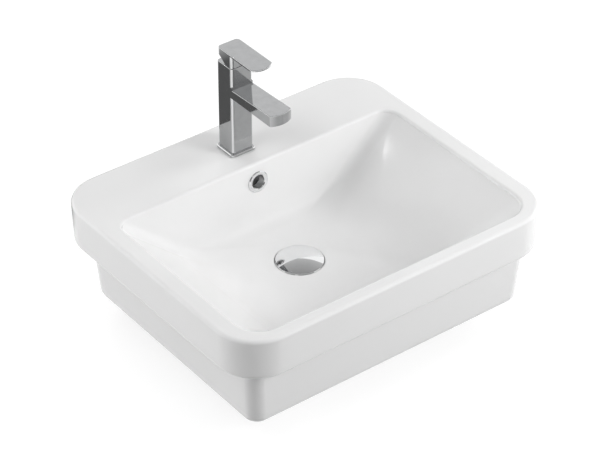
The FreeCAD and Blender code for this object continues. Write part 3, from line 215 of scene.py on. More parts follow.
def draw_speckle(group: bpy.types.NodeTree) -> bpy.types.NodeTree:
    """A value that varies a little over the surface, between a low and a high end.

    Args:
        group: The empty group.

    Returns:
        The group.
    """
    group_sockets(group, {"Scale": 200.0, "Low": 0.0, "High": 1.0}, "Value")
    sheet = ShaderSheet(group)
    given = sheet.add("NodeGroupInput")
    place = sheet.add("ShaderNodeTexCoord")
    noise = sheet.add(
        "ShaderNodeTexNoise",
        {"Vector": place.outputs["Object"], "Scale": given.outputs["Scale"], "Detail": 4.0, "Roughness": 0.6},
    )
    spread = sheet.add(
        "ShaderNodeMapRange",
        {
            "Value": noise.outputs["Fac"],
            "From Min": 0.3,
            "From Max": 0.7,
            "To Min": given.outputs["Low"],
            "To Max": given.outputs["High"],
        },
    )
    sheet.add("NodeGroupOutput", {"Value": spread.outputs["Result"]})
    return group


def draw_drawn_lines(group: bpy.types.NodeTree) -> bpy.types.NodeTree:
    """Fine lines along Z, as drawn, turned or brushed metal has them, as a height between 0 and 1.

    Args:
        group: The empty group.

    Returns:
        The group.
    """
    group_sockets(group, {"Lines": 2500.0, "Stretch": 0.03}, "Height")
    sheet = ShaderSheet(group)
    given = sheet.add("NodeGroupInput")
    place = sheet.add("ShaderNodeTexCoord")
    squeeze = sheet.add("ShaderNodeCombineXYZ", {"X": 1.0, "Y": 1.0, "Z": given.outputs["Stretch"]})
    stretched = sheet.add(
        "ShaderNodeVectorMath", {0: place.outputs["Object"], 1: squeeze.outputs[0]}, operation="MULTIPLY"
    )
    noise = sheet.add(
        "ShaderNodeTexNoise", {"Vector": stretched.outputs[0], "Scale": given.outputs["Lines"], "Detail": 2.0}
    )
    sheet.add("NodeGroupOutput", {"Height": noise.outputs["Fac"]})
    return group


def draw_edge_highlight_mask(group: bpy.types.NodeTree) -> bpy.types.NodeTree:
    """A mask that is 0 on faces square to the piece's axes and 1 on the rounded corners and edges between them,
    where a painted highlight goes.

    Args:
        group: The empty group.

    Returns:
        The group.
    """
    group_sockets(group, {"Start": 0.03, "Full": 0.2}, "Mask")
    sheet = ShaderSheet(group)
    given = sheet.add("NodeGroupInput")
    place = sheet.add("ShaderNodeTexCoord")
    size = sheet.add("ShaderNodeVectorMath", {0: place.outputs["Normal"]}, operation="ABSOLUTE")
    parts = sheet.add("ShaderNodeSeparateXYZ", {"Vector": size.outputs[0]})
    flat = sheet.add("ShaderNodeMath", {0: parts.outputs["X"], 1: parts.outputs["Y"]}, operation="MAXIMUM")
    square = sheet.add("ShaderNodeMath", {0: flat.outputs[0], 1: parts.outputs["Z"]}, operation="MAXIMUM")
    turned = sheet.add("ShaderNodeMath", {0: 1.0, 1: square.outputs[0]}, operation="SUBTRACT")
    mask = sheet.add(
        "ShaderNodeMapRange",
        {
            "Value": turned.outputs[0],
            "From Min": given.outputs["Start"],
            "From Max": given.outputs["Full"],
        },
    )
    sheet.add("NodeGroupOutput", {"Mask": mask.outputs["Result"]})
    return group


EFFECT_DRAWERS = {
    Effect.RIPPLE: draw_ripple,
    Effect.SPECKLE: draw_speckle,
    Effect.DRAWN_LINES: draw_drawn_lines,
    Effect.EDGES: draw_edge_highlight_mask,
}


# --------------------------------------------------------------------------------------------------
# Finishes
# --------------------------------------------------------------------------------------------------


@dataclass(frozen=True)
class Finish:
    """A surface finish: two close colours mixed by a speckle, a varying roughness and a low relief.

    With an edge highlight colour, the rounded edges of a piece take that colour instead, as a painted highlight.
    """

    name: str
    colour: Colour
    second_colour: Colour
    roughness: tuple[float, float]
    metallic: float = 0.0
    speckle_scale: float = 60.0
    relief: Effect = Effect.RIPPLE
    relief_scale: float = 40.0
    relief_share: float = 0.25
    relief_depth: float = 0.00002
    coat: float = 0.0
    coat_roughness: float = 0.03
    ior: float = 1.5
    edge_highlight_colour: Colour | None = None

    def material(self) -> bpy.types.Material:
        """Build the finish's material once.

        Returns:
            The material.
        """
        found = bpy.data.materials.get(self.name)
        if found:
            return found
        material = bpy.data.materials.new(self.name)
        material.use_nodes = True
        sheet = ShaderSheet(material.node_tree)
        tone = self.group(sheet, Effect.SPECKLE, {"Scale": self.speckle_scale, "Low": 0.0, "High": 1.0})
        base = sheet.mix_colours(tone.outputs[0], (*self.colour, 1.0), (*self.second_colour, 1.0))
        # Painted highlight: the rounded edges of a piece take a lighter colour.
        if self.edge_highlight_colour:
            edges = self.group(sheet, Effect.EDGES, {})
            base = sheet.mix_colours(edges.outputs[0], base, (*self.edge_highlight_colour, 1.0))
        rough = self.group(
            sheet,
            Effect.SPECKLE,
            {
                "Scale": self.speckle_scale * ROUGHNESS_GRAIN,
                "Low": self.roughness[0],
                "High": self.roughness[1],
            },
        )
        names = {
            Effect.RIPPLE: {"Wave": self.relief_scale, "Detail Share": self.relief_share},
            Effect.DRAWN_LINES: {"Lines": self.relief_scale, "Stretch": self.relief_share},
        }
        relief = self.group(sheet, self.relief, names[self.relief])
        bump = sheet.add(
            "ShaderNodeBump", {"Height": relief.outputs[0], "Distance": self.relief_depth, "Strength": 1.0}
        )
        surface = sheet.add(
            "ShaderNodeBsdfPrincipled",
            {
                "Base Color": base,
                "Roughness": rough.outputs[0],
                "Metallic": self.metallic,
                "IOR": self.ior,
                "Coat Weight": self.coat,
                "Coat Roughness": self.coat_roughness,
                "Normal": bump.outputs[0],
            },
        )
        sheet.add("ShaderNodeOutputMaterial", {"Surface": surface.outputs[0]})
        return material

    @staticmethod
    def group(sheet: ShaderSheet, effect: Effect, inputs: dict[str, float]) -> bpy.types.Node:
        """Place a shared effect in a material.

        Args:
            sheet: The material's tree.
            effect: Which effect.
            inputs: Values for the effect's inputs.

        Returns:
            The group node.
        """
        node = sheet.tree.nodes.new("ShaderNodeGroup")
        node.node_tree = effect_group(effect)
        for name, value in inputs.items():
            node.inputs[name].default_value = value
        return node


GLAZE = Finish(
    name="white_glaze",
    colour=(0.88, 0.88, 0.88),
    second_colour=(0.89, 0.89, 0.89),
    roughness=(0.05, 0.09),
    speckle_scale=14.0,
    relief_scale=55.0,
    relief_share=0.2,
    relief_depth=0.00003,
    coat=0.3,
)
# The tap's chrome is a darker copy of the polished chrome: painted shade in place of darker reflections. Its rounded
# edges take the polished chrome's colour as a painted highlight.
SHADED_TAP_CHROME = Finish(
    name="shaded_tap_chrome",
    colour=(0.43, 0.435, 0.44),
    second_colour=(0.47, 0.475, 0.48),
    roughness=(0.04, 0.08),
    metallic=1.0,
    speckle_scale=90.0,
    relief_scale=120.0,
    relief_depth=0.000003,
    edge_highlight_colour=(0.86, 0.865, 0.87),
)
CHROME = Finish(
    name="polished_chrome",
    colour=(0.86, 0.865, 0.87),
    second_colour=(0.89, 0.895, 0.90),
    roughness=(0.03, 0.06),
    metallic=1.0,
    speckle_scale=90.0,
    relief_scale=120.0,
    relief_depth=0.000003,
)
STEEL = Finish(
    name="drawn_steel",
    colour=(0.55, 0.56, 0.57),
    second_colour=(0.62, 0.62, 0.63),
    roughness=(0.25, 0.4),
    metallic=1.0,
    relief=Effect.DRAWN_LINES,
    relief_scale=2500.0,
    relief_share=0.03,
    relief_depth=0.00002,
)
BRASS = Finish(
    name="turned_brass",
    colour=(0.68, 0.50, 0.22),
    second_colour=(0.76, 0.58, 0.28),
    roughness=(0.22, 0.36),
    metallic=1.0,
    relief=Effect.DRAWN_LINES,
    relief_scale=1800.0,
    relief_share=12.0,
    relief_depth=0.00002,
)
RUBBER = Finish(
    name="black_rubber",
    colour=(0.02, 0.02, 0.02),
    second_colour=(0.035, 0.035, 0.035),
    roughness=(0.6, 0.8),
    relief_scale=700.0,
    relief_share=0.6,
    relief_depth=0.00008,
)
BLACK_PLASTIC = Finish(
    name="black_plastic",
    colour=(0.012, 0.012, 0.013),
    second_colour=(0.022, 0.022, 0.023),
    roughness=(0.35, 0.5),
    relief_scale=900.0,
    relief_share=0.6,
    relief_depth=0.00004,
)
WHITE_PLASTIC = Finish(
    name="white_plastic",
    colour=(0.78, 0.78, 0.76),
    second_colour=(0.84, 0.84, 0.82),
    roughness=(0.3, 0.42),
    relief_scale=900.0,
    relief_share=0.6,
    relief_depth=0.00003,
)
LAPPED_DISC = Finish(
    name="lapped_disc",
    colour=(0.80, 0.76, 0.66),
    second_colour=(0.86, 0.83, 0.75),
    roughness=(0.15, 0.25),
    relief_scale=1200.0,
    relief_share=0.5,
    relief_depth=0.00001,
)
TAP_NODES = ("tap_body", "tap_base_flange", "lever")
SLOT_FINISHES = {
    "vitreous_china": GLAZE,
    "chrome": CHROME,
    "steel": STEEL,
    "brass": BRASS,
    "rubber": RUBBER,
    "black_plastic": BLACK_PLASTIC,
    "white_plastic": WHITE_PLASTIC,
    "disc_ceramic": LAPPED_DISC,
}


# --------------------------------------------------------------------------------------------------
# Mesh work
# --------------------------------------------------------------------------------------------------

Ring = list[Vector]


@dataclass(frozen=True)
class Outline:
    """A rounded rectangle in plan, symmetrical left to right, with its own radius at the front and at the back."""

    half: float
    front: float
    back: float
    front_radius: float
    back_radius: float
    corner_steps: int = 20
    across_steps: int = 26
    along_steps: int = 20

    def ring(self, level: float) -> Ring:
        """Points round the outline at a level, always as many and in the same order.

        Args:
            level: The height.

        Returns:
            The points, anticlockwise seen from above, from the front edge's left end.
        """
        half, front, back = self.half, self.front, self.back
        corners = (
            (half - self.front_radius, front + self.front_radius, self.front_radius, -90.0, self.across_steps),
            (half - self.back_radius, back - self.back_radius, self.back_radius, 0.0, self.along_steps),
            (-half + self.back_radius, back - self.back_radius, self.back_radius, 90.0, self.across_steps),
            (-half + self.front_radius, front + self.front_radius, self.front_radius, 180.0, self.along_steps),
        )
        points: Ring = []
        last = Vector((-half + self.front_radius, front, level))
        for across, up, radius, start, steps in corners:
            arc = [
                Vector(
                    (
                        across + radius * math.cos(math.radians(start + 90.0 * i / self.corner_steps)),
                        up + radius * math.sin(math.radians(start + 90.0 * i / self.corner_steps)),
                        level,
                    )
                )
                for i in range(self.corner_steps + 1)
            ]
            points += [last.lerp(arc[0], i / steps) for i in range(1, steps)]
            points += arc
            last = arc[-1]
        return points

    def inset(self, amount: float) -> "Outline":
        """The outline drawn in all round by an amount."""
        return Outline(
            self.half - amount,
            self.front + amount,
            self.back - amount,
            self.front_radius - amount,
            self.back_radius - amount,
            self.corner_steps,
            self.across_steps,
            self.along_steps,
        )


def quarter_round(radius: float, steps: int) -> list[tuple[float, float]]:
    """Points of a quarter round between two faces at a right angle.

    Args:
        radius: Its radius.
        steps: How many straight pieces stand for it.

    Returns:
        Each point's distance from the face where the round starts and from the face where it ends.
    """
    turns = [math.radians(90.0 * i / steps) for i in range(steps + 1)]
    return [(radius * (1.0 - math.cos(turn)), radius * (1.0 - math.sin(turn))) for turn in turns]


def circle_like(ring: Ring, centre: tuple[float, float], radius: float, level: float) -> Ring:
    """A circle whose points lie in the same directions from its centre as those of a ring.

    Args:
        ring: The ring to follow.
        centre: The circle's centre in plan.
        radius: Its radius.
        level: Its height.

    Returns:
        The circle's points.
    """
    points = []
    for point in ring:
        away = Vector((point.x - centre[0], point.y - centre[1], 0.0)).normalized() * radius
        points.append(Vector((centre[0] + away.x, centre[1] + away.y, level)))
    return points


def link_piece(name: str, mesh: bpy.types.Mesh) -> bpy.types.Object:
    """Put a mesh in the scene as a piece.

    Args:
        name: The piece's name.
        mesh: Its mesh.

    Returns:
        The new object.
    """
    piece = bpy.data.objects.new(name, mesh)
    bpy.context.scene.collection.objects.link(piece)
    return piece


def solid_piece(name: str, vertices: Ring, faces: list[tuple[int, ...]]) -> bpy.types.Object:
    """A closed mesh whose faces all look outwards.

    Args:
        name: The piece's name.
        vertices: Its points.
        faces: The points of each face.

    Returns:
        The piece.
    """
    mesh = bpy.data.meshes.new(name)
    mesh.from_pydata(vertices, [], faces)
    work = bmesh.new()
    work.from_mesh(mesh)
    bmesh.ops.recalc_face_normals(work, faces=work.faces)
    work.to_mesh(mesh)
    work.free()
    return link_piece(name, mesh)


def closed_loop_piece(name: str, rings: list[Ring]) -> bpy.types.Object:
    """A solid from rings that follow each other and return to the first.

    Args:
        name: The piece's name.
        rings: Rings of equally many points.

    Returns:
        The piece.
    """
    count = len(rings[0])
    vertices = [point for ring in rings for point in ring]
    faces = []
    for row in range(len(rings)):
        after = (row + 1) % len(rings)
        for i in range(count):
            following = (i + 1) % count
            faces.append((row * count + i, row * count + following, after * count + following, after * count + i))
    return solid_piece(name, vertices, faces)


def prism(name: str, corners: Ring, up: Vector) -> bpy.types.Object:
    """A closed prism from a flat outline.

    Args:
        name: The piece's name.
        corners: The outline.
        up: The way and distance it is raised.

    Returns:
        The piece.
    """
    count = len(corners)
    vertices = [*corners, *(corner + up for corner in corners)]
    faces = [tuple(reversed(range(count))), tuple(range(count, 2 * count))]
    faces += [(i, (i + 1) % count, count + (i + 1) % count, count + i) for i in range(count)]
    return solid_piece(name, vertices, faces)


def box_piece(name: str, low: Point, high: Point) -> bpy.types.Object:
    """A box between two corners.

    Args:
        name: The piece's name.
        low: The lowest corner.
        high: The highest corner.

    Returns:
        The piece.
    """
    (left, front, bottom), (right, back, top) = low, high
    corners = ((left, front), (right, front), (right, back), (left, back))
    return prism(name, [Vector((x, y, bottom)) for x, y in corners], Vector((0.0, 0.0, top - bottom)))


def rod_piece(name: str, start: Vector, end: Vector, radius: float, steps: int = 96) -> bpy.types.Object:
    """A round rod between two points.

    Args:
        name: The piece's name.
        start: The middle of one end.
        end: The middle of the other.
        radius: Its radius.
        steps: How many sides stand for the round.

    Returns:
        The piece.
    """
    along = (end - start).normalized()
    aside = along.orthogonal().normalized()
    other = along.cross(aside)
    turns = [2.0 * math.pi * i / steps for i in range(steps)]
    ring = [start + aside * (radius * math.cos(turn)) + other * (radius * math.sin(turn)) for turn in turns]
    return prism(name, ring, end - start)


def combine(piece: bpy.types.Object, tools: list[bpy.types.Object], operation: str) -> None:
    """Unite a piece with tools or cut them out of it. The tools go.

    Args:
        piece: The piece that changes.
        tools: The other solids.
        operation: UNION or DIFFERENCE.
    """
    for tool in tools:
        modifier = piece.modifiers.new(tool.name, "BOOLEAN")
        modifier.operation = operation
        modifier.solver = "EXACT"
        modifier.object = tool
        bpy.context.view_layer.update()
        evaluated = piece.evaluated_get(bpy.context.evaluated_depsgraph_get())
        made = bpy.data.meshes.new_from_object(evaluated)
        piece.modifiers.clear()
        piece.data = made
        bpy.data.objects.remove(tool)


def smooth(piece: bpy.types.Object, angle: float = 32.0, area_weight: int = 80) -> None:
    """Shade a piece smooth, but for edges that turn by more than an angle, and weigh its normals by face area.

    Args:
        piece: The piece.
        angle: The angle in degrees.
        area_weight: How strongly the larger faces count.
    """
    piece.data.shade_smooth()
    piece.data.set_sharp_from_angle(angle=math.radians(angle))
    weigh = piece.modifiers.new("weigh_normals", "WEIGHTED_NORMAL")
    weigh.keep_sharp = True
    weigh.weight = area_weight


def paint(piece: bpy.types.Object, finish: Finish) -> None:
    """Give a piece one finish all over."""
    piece.data.materials.clear()
    piece.data.materials.append(finish.material())


# --------------------------------------------------------------------------------------------------
# The ceramic
# --------------------------------------------------------------------------------------------------


@dataclass
class BasinShell:
    """The glazed ceramic, drawn as rings over the bowl, the deck, the rim, the skirt and the hollow below.

    The skirt's insets are those of its sides, front and back. The slopes are those of the bowl's side, front and
    back walls, in degrees. Pairs of corner radii are the front one and the back one. A fine edge is given as how
    far it reaches along a face and how far its middle lies from that face. The guard is the distance from a round
    at which one more ring keeps the flat face beside it flat. The waste is its middle in plan. The recess and the
    boss are a radius and a height, the duct its width, gap and wall, and the overflow bore how far it reaches before
    and behind the wall's face.
    """

    length: float = 500 * MM
    width: float = 420 * MM
    height: float = 62 * MM
    corner: float = 59 * MM
    draft: float = 1.5 * MM
    top_round: float = 5 * MM
    foot_round: float = 7 * MM
    rim_wall: float = 11 * MM
    skirt_insets: tuple[float, float, float] = (25.4 * MM, 21.4 * MM, 22.8 * MM)
    skirt_depth: float = 90 * MM
    skirt_draft: float = 6 * MM
    skirt_corners: tuple[float, float] = (20 * MM, 35 * MM)
    skirt_round: float = 10.5 * MM
    skirt_wall: float = 10 * MM
    foot_return: float = 26 * MM
    foot_height: float = 12 * MM
    deck_thickness: float = 14 * MM
    bowl_half: float = 223.5 * MM
    bowl_front: float = 190 * MM
    bowl_back: float = 104 * MM
    bowl_corners: tuple[float, float] = (35 * MM, 20 * MM)
    bowl_wall: float = 10 * MM
    bowl_depth: float = 104 * MM
    lip: float = 5 * MM
    lip_round: float = 4 * MM
    slopes: tuple[float, float, float] = (40.5, 60.0, 85.0)
    floor_fall: float = 9 * MM
    floor_half: float = 45 * MM
    floor_corner: float = 44 * MM
    turn_rise: float = 24 * MM
    turn_share: float = 0.5
    waste: tuple[float, float] = (0.0, 10.5 * MM)
    recess: tuple[float, float] = (33.5 * MM, 3 * MM)
    recess_foot: tuple[float, float] = (0.6 * MM, 0.15 * MM)
    recess_edge: tuple[float, float] = (1.0 * MM, 0.3 * MM)
    hole_edge: float = 0.5 * MM
    skirt_edge: tuple[float, float] = (1.2 * MM, 0.35 * MM)
    guard: float = 1.0 * MM
    waste_hole: float = 23 * MM
    boss: tuple[float, float] = (38 * MM, 39 * MM)
    tap_back: float = 150.5 * MM
    tap_hole: float = 17.5 * MM
    overflow_drop: float = 28.4 * MM
    overflow_hole: float = 12 * MM
    overflow_bore: tuple[float, float] = (5 * MM, 16 * MM)
    duct: tuple[float, float, float] = (26 * MM, 11 * MM, 7 * MM)
    duct_start: float = 25 * MM
    channel_start: float = 10 * MM
    shaft_roof: float = 6 * MM
    overlap: float = 1 * MM
    bore_overrun: float = 4 * MM
    arc_steps: int = 7
    floor_steps: int = 5
    turn_steps: int = 12
    wall_steps: int = 8

    @property
    def wall_height(self) -> float:
        """Height of the bowl's straight walls above the floor's edge."""
        return self.bowl_depth - self.lip - self.floor_fall

    @property
    def floor_level(self) -> float:
        """Level of the flat round the waste."""
        return self.height - self.bowl_depth

    def rim(self, level: float, inset: float = 0.0) -> Outline:
        """The rim's outline at a level, drawn in by an inset."""
        drawn_in = inset + self.draft * (1.0 - level / self.height)
        half = self.width / 2
        return Outline(self.length / 2, -half, half, self.corner, self.corner).inset(drawn_in)

    def rim_ring(self, level: float, inset: float = 0.0) -> Ring:
        """The rim's ring at a level."""
        return self.rim(level, inset).ring(level)

    def skirt(self, level: float, inset: float = 0.0) -> Outline:
        """The skirt's outline at a level, drawn in by an inset, with its corner radii kept."""
        side, front, back = self.skirt_insets
        drawn_in = inset - self.skirt_draft * level / self.skirt_depth
        front_corner, back_corner = (corner - inset for corner in self.skirt_corners)
        return Outline(
            self.length / 2 - side - drawn_in,
            -(self.width / 2 - front - drawn_in),
            self.width / 2 - back - drawn_in,
            front_corner,
            back_corner,
        )

    def skirt_ring(self, level: float, inset: float = 0.0) -> Ring:
        """The skirt's ring at a level."""
        return self.skirt(level, inset).ring(level)

    def bowl(self, rise: float, share: float, skin: float) -> Ring:
        """The bowl's outline where the walls have this rise and the floor this share of its run.

        Args:
            rise: Height above the floor's edge, along the walls.
            share: Share of the floor's run, from its edge to the flat round the waste.
            skin: Thickness of ceramic that is added outside.

        Returns:
            The ring.
        """
        side, front, back = (math.radians(slope) for slope in self.slopes)

        def reach(edge: float, slope: float, flat: float) -> float:
            foot = edge - self.wall_height / math.tan(slope) + skin / math.sin(slope) - skin / math.tan(slope)
            return foot + rise / math.tan(slope) - share * (foot - flat)

        corners = [corner + skin + (self.floor_corner - corner - skin) * share for corner in self.bowl_corners]
        outline = Outline(
            reach(self.bowl_half, side, self.floor_half),
            -reach(self.bowl_front, front, self.floor_half - self.waste[1]),
            reach(self.bowl_back, back, self.floor_half + self.waste[1]),
            *corners,
        )
        return outline.ring(self.floor_level + self.floor_fall + rise - share * self.floor_fall - skin)

    def bowl_rings(self, skin: float, top: float) -> list[Ring]:
        """The bowl's rings from the flat round the waste up to a rise of its walls.

        Args:
            skin: Thickness of ceramic that is added outside.
            top: The rise of the last ring.

        Returns:
            The rings, lowest first.
        """
        floor, wall = self.floor_steps, self.wall_steps
        stations = [(0.0, 1.0 - (1.0 - self.turn_share) * i / floor) for i in range(floor)]
        for i in range(self.turn_steps + 1):
            along = 1.0 - i / self.turn_steps
            stations.append(((1.0 - along) ** 2 * self.turn_rise, along**2 * self.turn_share))
        stations += [(self.turn_rise + (top - self.turn_rise) * i / wall, 0.0) for i in range(1, wall + 1)]
        return [self.bowl(rise, share, skin) for rise, share in stations]

    def inner_rings(self) -> list[Ring]:
        """Rings from the waste hole over the recess and the floor up to the top of the bowl's walls.

        Returns:
            The rings, in the order in which they follow each other.
        """
        bowl = self.bowl_rings(0.0, self.wall_height)
        radius, depth = self.recess
        floor = self.floor_level
        bed = floor - depth
        foot, foot_middle = self.recess_foot
        edge, edge_middle = self.recess_edge
        steps = (
            (self.waste_hole, bed - self.boss[1]),
            (self.waste_hole, bed - self.hole_edge),
            (self.waste_hole + self.hole_edge, bed),
            (radius - foot, bed),
            (radius - foot_middle, bed + foot_middle),
            (radius, bed + foot),
            (radius, floor - edge),
            (radius + edge_middle, floor - edge_middle),
            (radius + edge, floor),
        )
        return [circle_like(bowl[0], self.waste, reach, level) for reach, level in steps] + bowl

    def opening_rings(self) -> list[Ring]:
        """Rings from the upright lip over the rounded edge to the deck.

        Returns:
            The rings, in the order in which they follow each other.
        """
        opening = Outline(self.bowl_half, -self.bowl_front, self.bowl_back, *self.bowl_corners)
        rounded = quarter_round(self.lip_round, self.arc_steps)
        rings = [opening.inset(-out).ring(self.height - down) for out, down in rounded]
        return [*rings, opening.inset(-self.lip_round - self.guard).ring(self.height)]

    def outer_rings(self) -> list[Ring]:
        """Rings from the deck over the rim's edge, down its side, under it and down the skirt to its foot.

        Returns:
            The rings, in the order in which they follow each other.
        """
        foot = -self.skirt_depth
        edge, edge_middle = self.skirt_edge
        top_round, foot_round, skirt_round = (
            quarter_round(radius, self.arc_steps) for radius in (self.top_round, self.foot_round, self.skirt_round)
        )
        return [
            self.rim_ring(self.height, self.top_round + self.guard),
            *(self.rim_ring(self.height - down, inset) for down, inset in top_round),
            self.rim_ring(self.height - self.top_round - self.guard),
            self.rim_ring(self.foot_round + self.guard),
            *(self.rim_ring(up, inset) for inset, up in foot_round),
            self.rim_ring(0.0, self.foot_round + self.guard),
            self.skirt_ring(0.0, -edge),
            self.skirt(0.0, -edge_middle).ring(-edge_middle),
            self.skirt_ring(-edge),
            self.skirt_ring(foot + self.skirt_round + self.guard),
            *(self.skirt_ring(foot + up, inset) for inset, up in skirt_round),
        ]

    def under_rings(self) -> list[Ring]:
        """Rings from the foot up into the hollow, across its roof, down outside the bowl and to the waste boss.

        Returns:
            The rings, in the order in which they follow each other.
        """
        foot = -self.skirt_depth
        foot_top = foot + self.foot_height
        roof = self.wall_height + self.bowl_wall - (self.deck_thickness - self.lip)
        bowl = list(reversed(self.bowl_rings(self.bowl_wall, roof)))
        radius, height = self.boss
        return [
            self.skirt_ring(foot, self.foot_return),
            self.skirt(foot, self.foot_return).ring(foot_top),
            self.skirt_ring(foot_top, self.skirt_wall),
            self.skirt_ring(self.rim_wall, self.skirt_wall),
            self.rim_ring(self.rim_wall, self.rim_wall),
            self.rim_ring(self.height - self.deck_thickness, self.rim_wall),
            *bowl,
            circle_like(bowl[-1], self.waste, radius, self.floor_level - self.bowl_wall),
            circle_like(bowl[-1], self.waste, radius, self.floor_level - self.recess[1] - height),
        ]

    @property
    def duct_floor(self) -> float:
        """Level of the duct's underside, which is the waste boss's lower end."""
        return self.floor_level - self.recess[1] - self.boss[1]

    @property
    def duct_roof(self) -> float:
        """Level in the deck up to which the duct's walls reach."""
        return self.height - self.deck_thickness + self.overlap

    def duct_walls(self) -> list[bpy.types.Object]:
        """The overflow duct's ceramic: an upright behind the bowl and a foot that leads to the waste.

        Returns:
            Two solids.
        """
        across, gap, wall = self.duct
        side, low = across / 2 + wall, self.duct_floor
        back = self.bowl_back + self.bowl_wall + gap + wall
        foot_front = self.waste[1] + self.duct_start
        foot_top = low + wall + gap + wall
        return [
            box_piece("duct_upright", (-side, self.bowl_back, low), (side, back, self.duct_roof)),
            box_piece("duct_foot", (-side, foot_front, low), (side, back - self.overlap, foot_top)),
        ]

    def duct_channels(self) -> list[bpy.types.Object]:
        """The overflow duct's hollow: a shaft behind the bowl and a channel to the waste.

        Returns:
            Two solids.
        """
        across, gap, wall = self.duct
        side, low = across / 2, self.duct_floor + wall
        front = self.bowl_back + self.bowl_wall
        back = front + gap
        channel_front = self.waste[1] + self.channel_start
        return [
            box_piece("duct_shaft", (-side, front, low), (side, back, self.duct_roof - self.shaft_roof)),
            box_piece("duct_channel", (-side, channel_front, low), (side, back - self.overlap, low + gap)),
        ]

    def bores(self) -> list[bpy.types.Object]:
        """The overflow hole, square to the bowl's back wall, and the tap hole.

        Returns:
            Two solids.
        """
        slope = math.radians(self.slopes[2])
        hole_back = self.bowl_back - (self.overflow_drop - self.lip) / math.tan(slope)
        hole = Vector((0.0, hole_back, self.height - self.overflow_drop))
        into = Vector((0.0, math.sin(slope), -math.cos(slope)))
        before, behind = self.overflow_bore
        tap_low, tap_high = self.duct_roof - self.bore_overrun, self.height + self.bore_overrun
        return [
            rod_piece("overflow_bore", hole - into * before, hole + into * behind, self.overflow_hole),
            rod_piece(
                "tap_bore",
                Vector((0.0, self.tap_back, tap_low)),
                Vector((0.0, self.tap_back, tap_high)),
                self.tap_hole,
            ),
        ]

    def build(self) -> bpy.types.Object:
        """Draw the shell, add the overflow duct, cut the holes and glaze it.

        Returns:
            The basin.
        """
        rings = self.inner_rings() + self.opening_rings() + self.outer_rings() + self.under_rings()
        shell = closed_loop_piece("basin_shell", rings)
        combine(shell, self.duct_walls(), "UNION")
        combine(shell, [*self.duct_channels(), *self.bores()], "DIFFERENCE")
        smooth(shell)
        paint(shell, GLAZE)
        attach(shell, "fixed")
        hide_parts("basin")
        return shell


# --------------------------------------------------------------------------------------------------
# Finishes on the carried-over nodes
# --------------------------------------------------------------------------------------------------


@dataclass
class CarriedNodes:
    """The CAD nodes that show as they are, each with the finish of its slot, or on the tap a darker chrome that
    paints in shade, with painted highlights on its rounded edges.
    """

    nodes: dict[str, bpy.types.Object]
    record: dict

    def dress(self) -> dict[str, str]:
        """Give every node its finish.

        Returns:
            The name of each node's finish.
        """
        slots = {entry["node"]: entry["material_slot"] for entry in self.record["subparts"]}
        given = {name: SHADED_TAP_CHROME if name in TAP_NODES else SLOT_FINISHES[slots[name]] for name in self.nodes}
        for name, finish in given.items():
            paint(self.nodes[name], finish)
        return {name: finish.name for name, finish in given.items()}


# --------------------------------------------------------------------------------------------------
# Studio
# --------------------------------------------------------------------------------------------------


def facing(place: Point, aim: Point) -> Quaternion:
    """The turn that makes a lamp or card at a place look at an aim.

    Args:
        place: Where it stands.
        aim: What it looks at.

    Returns:
        Its rotation.
    """
    return (Vector(aim) - Vector(place)).to_track_quat("-Z", "Y")


@dataclass(frozen=True)
class Softbox:
    """A rectangular lamp. It lights the object and glossy faces don't show it, or, where mirrored, the reverse."""

    name: str
    place: Point
    size: tuple[float, float]
    power: float
    aim: Point = (0.0, 0.0, 0.03)
    roll: float = 0.0
    mirrored: bool = False

    def build(self) -> bpy.types.Object:
        """Put the light in the scene.

        Returns:
            The light.
        """
        data = bpy.data.lights.new(self.name, "AREA")
        data.shape = "RECTANGLE"
        data.size, data.size_y = self.size
        data.energy = self.power
        lamp = bpy.data.objects.new(self.name, data)
        bpy.context.scene.collection.objects.link(lamp)
        lamp.location = self.place
        lamp.visible_glossy = self.mirrored
        lamp.visible_diffuse = not self.mirrored
        lamp.rotation_mode = "QUATERNION"
        turn = Quaternion((0.0, 0.0, 1.0), math.radians(self.roll))
        lamp.rotation_quaternion = facing(self.place, self.aim) @ turn
        return lamp


@dataclass(frozen=True)
class Flag:
    """A round grey card that only glossy faces show, with one tone over its even middle and another at its edge."""

    name: str
    place: Point
    reach: tuple[float, float]
    tones: tuple[float, float]
    aim: Point = (0.0, 0.0, 0.0)
    even_share: float = 0.0
    sides: int = 96

    def build(self) -> bpy.types.Object:
        """Put the card in the scene.

        Returns:
            The card.
        """
        turns = [2.0 * math.pi * i / self.sides for i in range(self.sides)]
        corners = [(math.cos(turn), math.sin(turn), 0.0) for turn in turns]
        mesh = bpy.data.meshes.new(self.name)
        mesh.from_pydata(corners, [], [tuple(range(self.sides))])
        card = link_piece(self.name, mesh)
        card.location = self.place
        card.scale = (*self.reach, 1.0)
        card.rotation_mode = "QUATERNION"
        card.rotation_quaternion = facing(self.place, self.aim)
        for rays in ("camera", "diffuse", "transmission", "volume_scatter", "shadow"):
            setattr(card, f"visible_{rays}", False)
        material = bpy.data.materials.new(self.name)
        material.use_nodes = True
        sheet = ShaderSheet(material.node_tree)
        tone = sheet.add(
            "ShaderNodeMapRange",
            {
                "Value": sheet.distance_from_middle(),
                "From Min": self.even_share,
                "To Min": self.tones[0],
                "To Max": self.tones[1],
            },
        )
        glow = sheet.add("ShaderNodeEmission", {"Strength": tone.outputs["Result"]})
        sheet.add("ShaderNodeOutputMaterial", {"Surface": glow.outputs[0]})
        mesh.materials.append(material)
        card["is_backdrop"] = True
        return card


